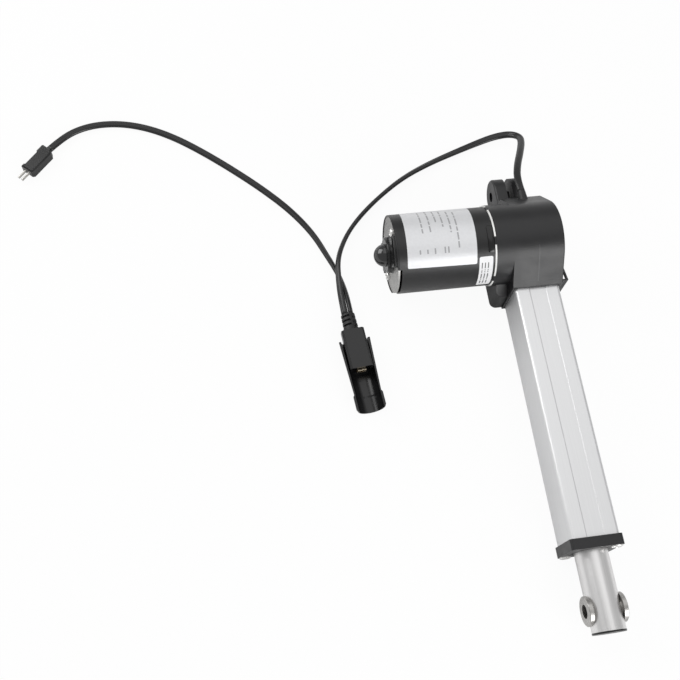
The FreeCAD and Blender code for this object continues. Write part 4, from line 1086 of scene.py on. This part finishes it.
def bore_block():
    """A block with rounded corners, longer than the tube."""
    block = bmesh.new()
    bmesh.ops.create_cube(block, size=1)
    bmesh.ops.scale(block, verts=block.verts,
                    vec=(TUBE_SPAN.x - 2 * TUBE_WALL, 2 * TUBE_SPAN.y, TUBE_SPAN.z - 2 * TUBE_WALL))
    long_edges = [edge for edge in block.edges
                  if abs(edge.verts[0].co.y - edge.verts[1].co.y) > TUBE_SPAN.y]
    rounded(block, long_edges, BORE_CORNER, BORE_CORNER_SEGMENTS, "EDGES")
    bmesh.ops.translate(block, verts=block.verts, vec=(SPINDLE_X, (TUBE_LOW.y + TUBE_HIGH.y) / 2, 0))
    return block


def screw_port(side):
    """A round port for one of the cap's screws."""
    port = bmesh.new()
    bmesh.ops.create_cone(port, cap_ends=True, segments=PORT_SEGMENTS, depth=2 * PORT_DEPTH,
                          radius1=PORT_RADIUS, radius2=PORT_RADIUS)
    return placed(port, (SPINDLE_X + side * CAP_SCREW_X, TUBE_LOW.y, side * CAP_SCREW_Z), TO_ROD_END)


# %% Tube
tube_cutter = joined([bore_block(), screw_port(-1), screw_port(1)])
drawn_tube = link_mesh("drawn_tube", carved("tube", tube_solid(), tube_cutter))
drawn_tube.data.shade_flat()
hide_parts("outer_tube")
dress(drawn_tube, anodised_tube)

# %% [markdown]
# ## Rod end
# The rod's open end lies in shade and shows as a dark line there. A black cap over the end paints that
# line: painted shade. A black disc would show the same line, but it would hang in front of the rod. So one
# outline has the cap's face, the thin skirt over the rod and the spigot inside it, and is spun round the
# rod's axis.

# %% Rod end cap
ROD_END_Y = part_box("rod_tube")[0][1]
ROD_RADIUS = 0.0125
BORE_RADIUS = 0.0105
SKIRT = 0.0001
SKIRT_LENGTH = 0.0012
FACE = 0.0002
SPIGOT_DEPTH = 0.0085
SPIGOT_WALL = 0.0015
cap_rim = ROD_RADIUS + SKIRT
skirt_inside = ROD_RADIUS + SKIRT / 4
spigot_outside = BORE_RADIUS - SKIRT
spigot_inside = BORE_RADIUS - SPIGOT_WALL
cap_face = [(0, FACE), (cap_rim - 2 * FACE, FACE), (cap_rim - FACE / 2, FACE / 2), (cap_rim, -FACE / 2)]
cap_skirt = [(cap_rim, -SKIRT_LENGTH), (skirt_inside, -SKIRT_LENGTH), (skirt_inside, 0)]
cap_spigot = [(spigot_outside, 0), (spigot_outside, -SPIGOT_DEPTH), (spigot_inside, -SPIGOT_DEPTH),
              (spigot_inside, -SKIRT_LENGTH), (0, -SKIRT_LENGTH)]
cap_shape = turned(cap_face + cap_skirt + cap_spigot, ROUND_STEPS)
# The black cap stands in for the shade of the rod's open end: painted shade.
rod_end_shade_cap = link_mesh("rod_end_shade_cap", placed(cap_shape, (SPINDLE_X, ROD_END_Y, 0), TO_ROD_END))
smooth(rod_end_shade_cap)
dress(rod_end_shade_cap, black_plastic, body="rod")

# %% [markdown]
# ## Parting line
# The two halves of the housing's mould meet in the plane of the spindle. The thin flash that they leave is
# trimmed off, and the cut leaves a fine raised line up the sloped front and a little way over the tunnel.
# Its paler colour is painted highlight, for the light that the raised line catches. A stripe in the
# housing's material could follow one flat face, but this line bends over the tunnel. So a small rectangle
# is extruded up the slope and then spun about the motor's axis.

# %% Housing parting line
PARTING_WIDTH = 0.0009
PARTING_HEIGHT = 0.00005
SLOPE_LIP = Vector((SPINDLE_X, -0.0943, 0.02252))
SLOPE_TOP = Vector((SPINDLE_X, -0.0796, 0.0393))
TUNNEL_SWEEP = math.radians(18)
TUNNEL_STEPS = 10
# Paler than the housing: painted highlight on the raised parting line.
parting_highlight = moulded("parting_highlight", (0.024, 0.024, 0.026), 0.32, grain=0.00001)
slope = (SLOPE_TOP - SLOPE_LIP).normalized()
outward = Vector((0, -slope.z, slope.y))
up_the_slope = Matrix((Vector((1, 0, 0)), outward, slope)).transposed().to_4x4()
line_shape = bmesh.new()
bmesh.ops.create_grid(line_shape, x_segments=1, y_segments=1, size=0.5)
bmesh.ops.scale(line_shape, verts=line_shape.verts, vec=(PARTING_WIDTH, 2 * PARTING_HEIGHT, 1))
placed(line_shape, SLOPE_LIP, up_the_slope)
tip = extruded(line_shape, SLOPE_TOP - SLOPE_LIP)
bmesh.ops.spin(line_shape, geom=tip, cent=(0, CAN_MIDDLE_Y, CAN_MIDDLE_Z), axis=(1, 0, 0),
               angle=-TUNNEL_SWEEP, steps=TUNNEL_STEPS)
# The tip's own face is inside the line now that the spin has gone on from it.
bmesh.ops.delete(line_shape, geom=tip, context="FACES_ONLY")
bmesh.ops.recalc_face_normals(line_shape, faces=line_shape.faces)
dress(link_mesh("housing_parting_line", line_shape), parting_highlight)
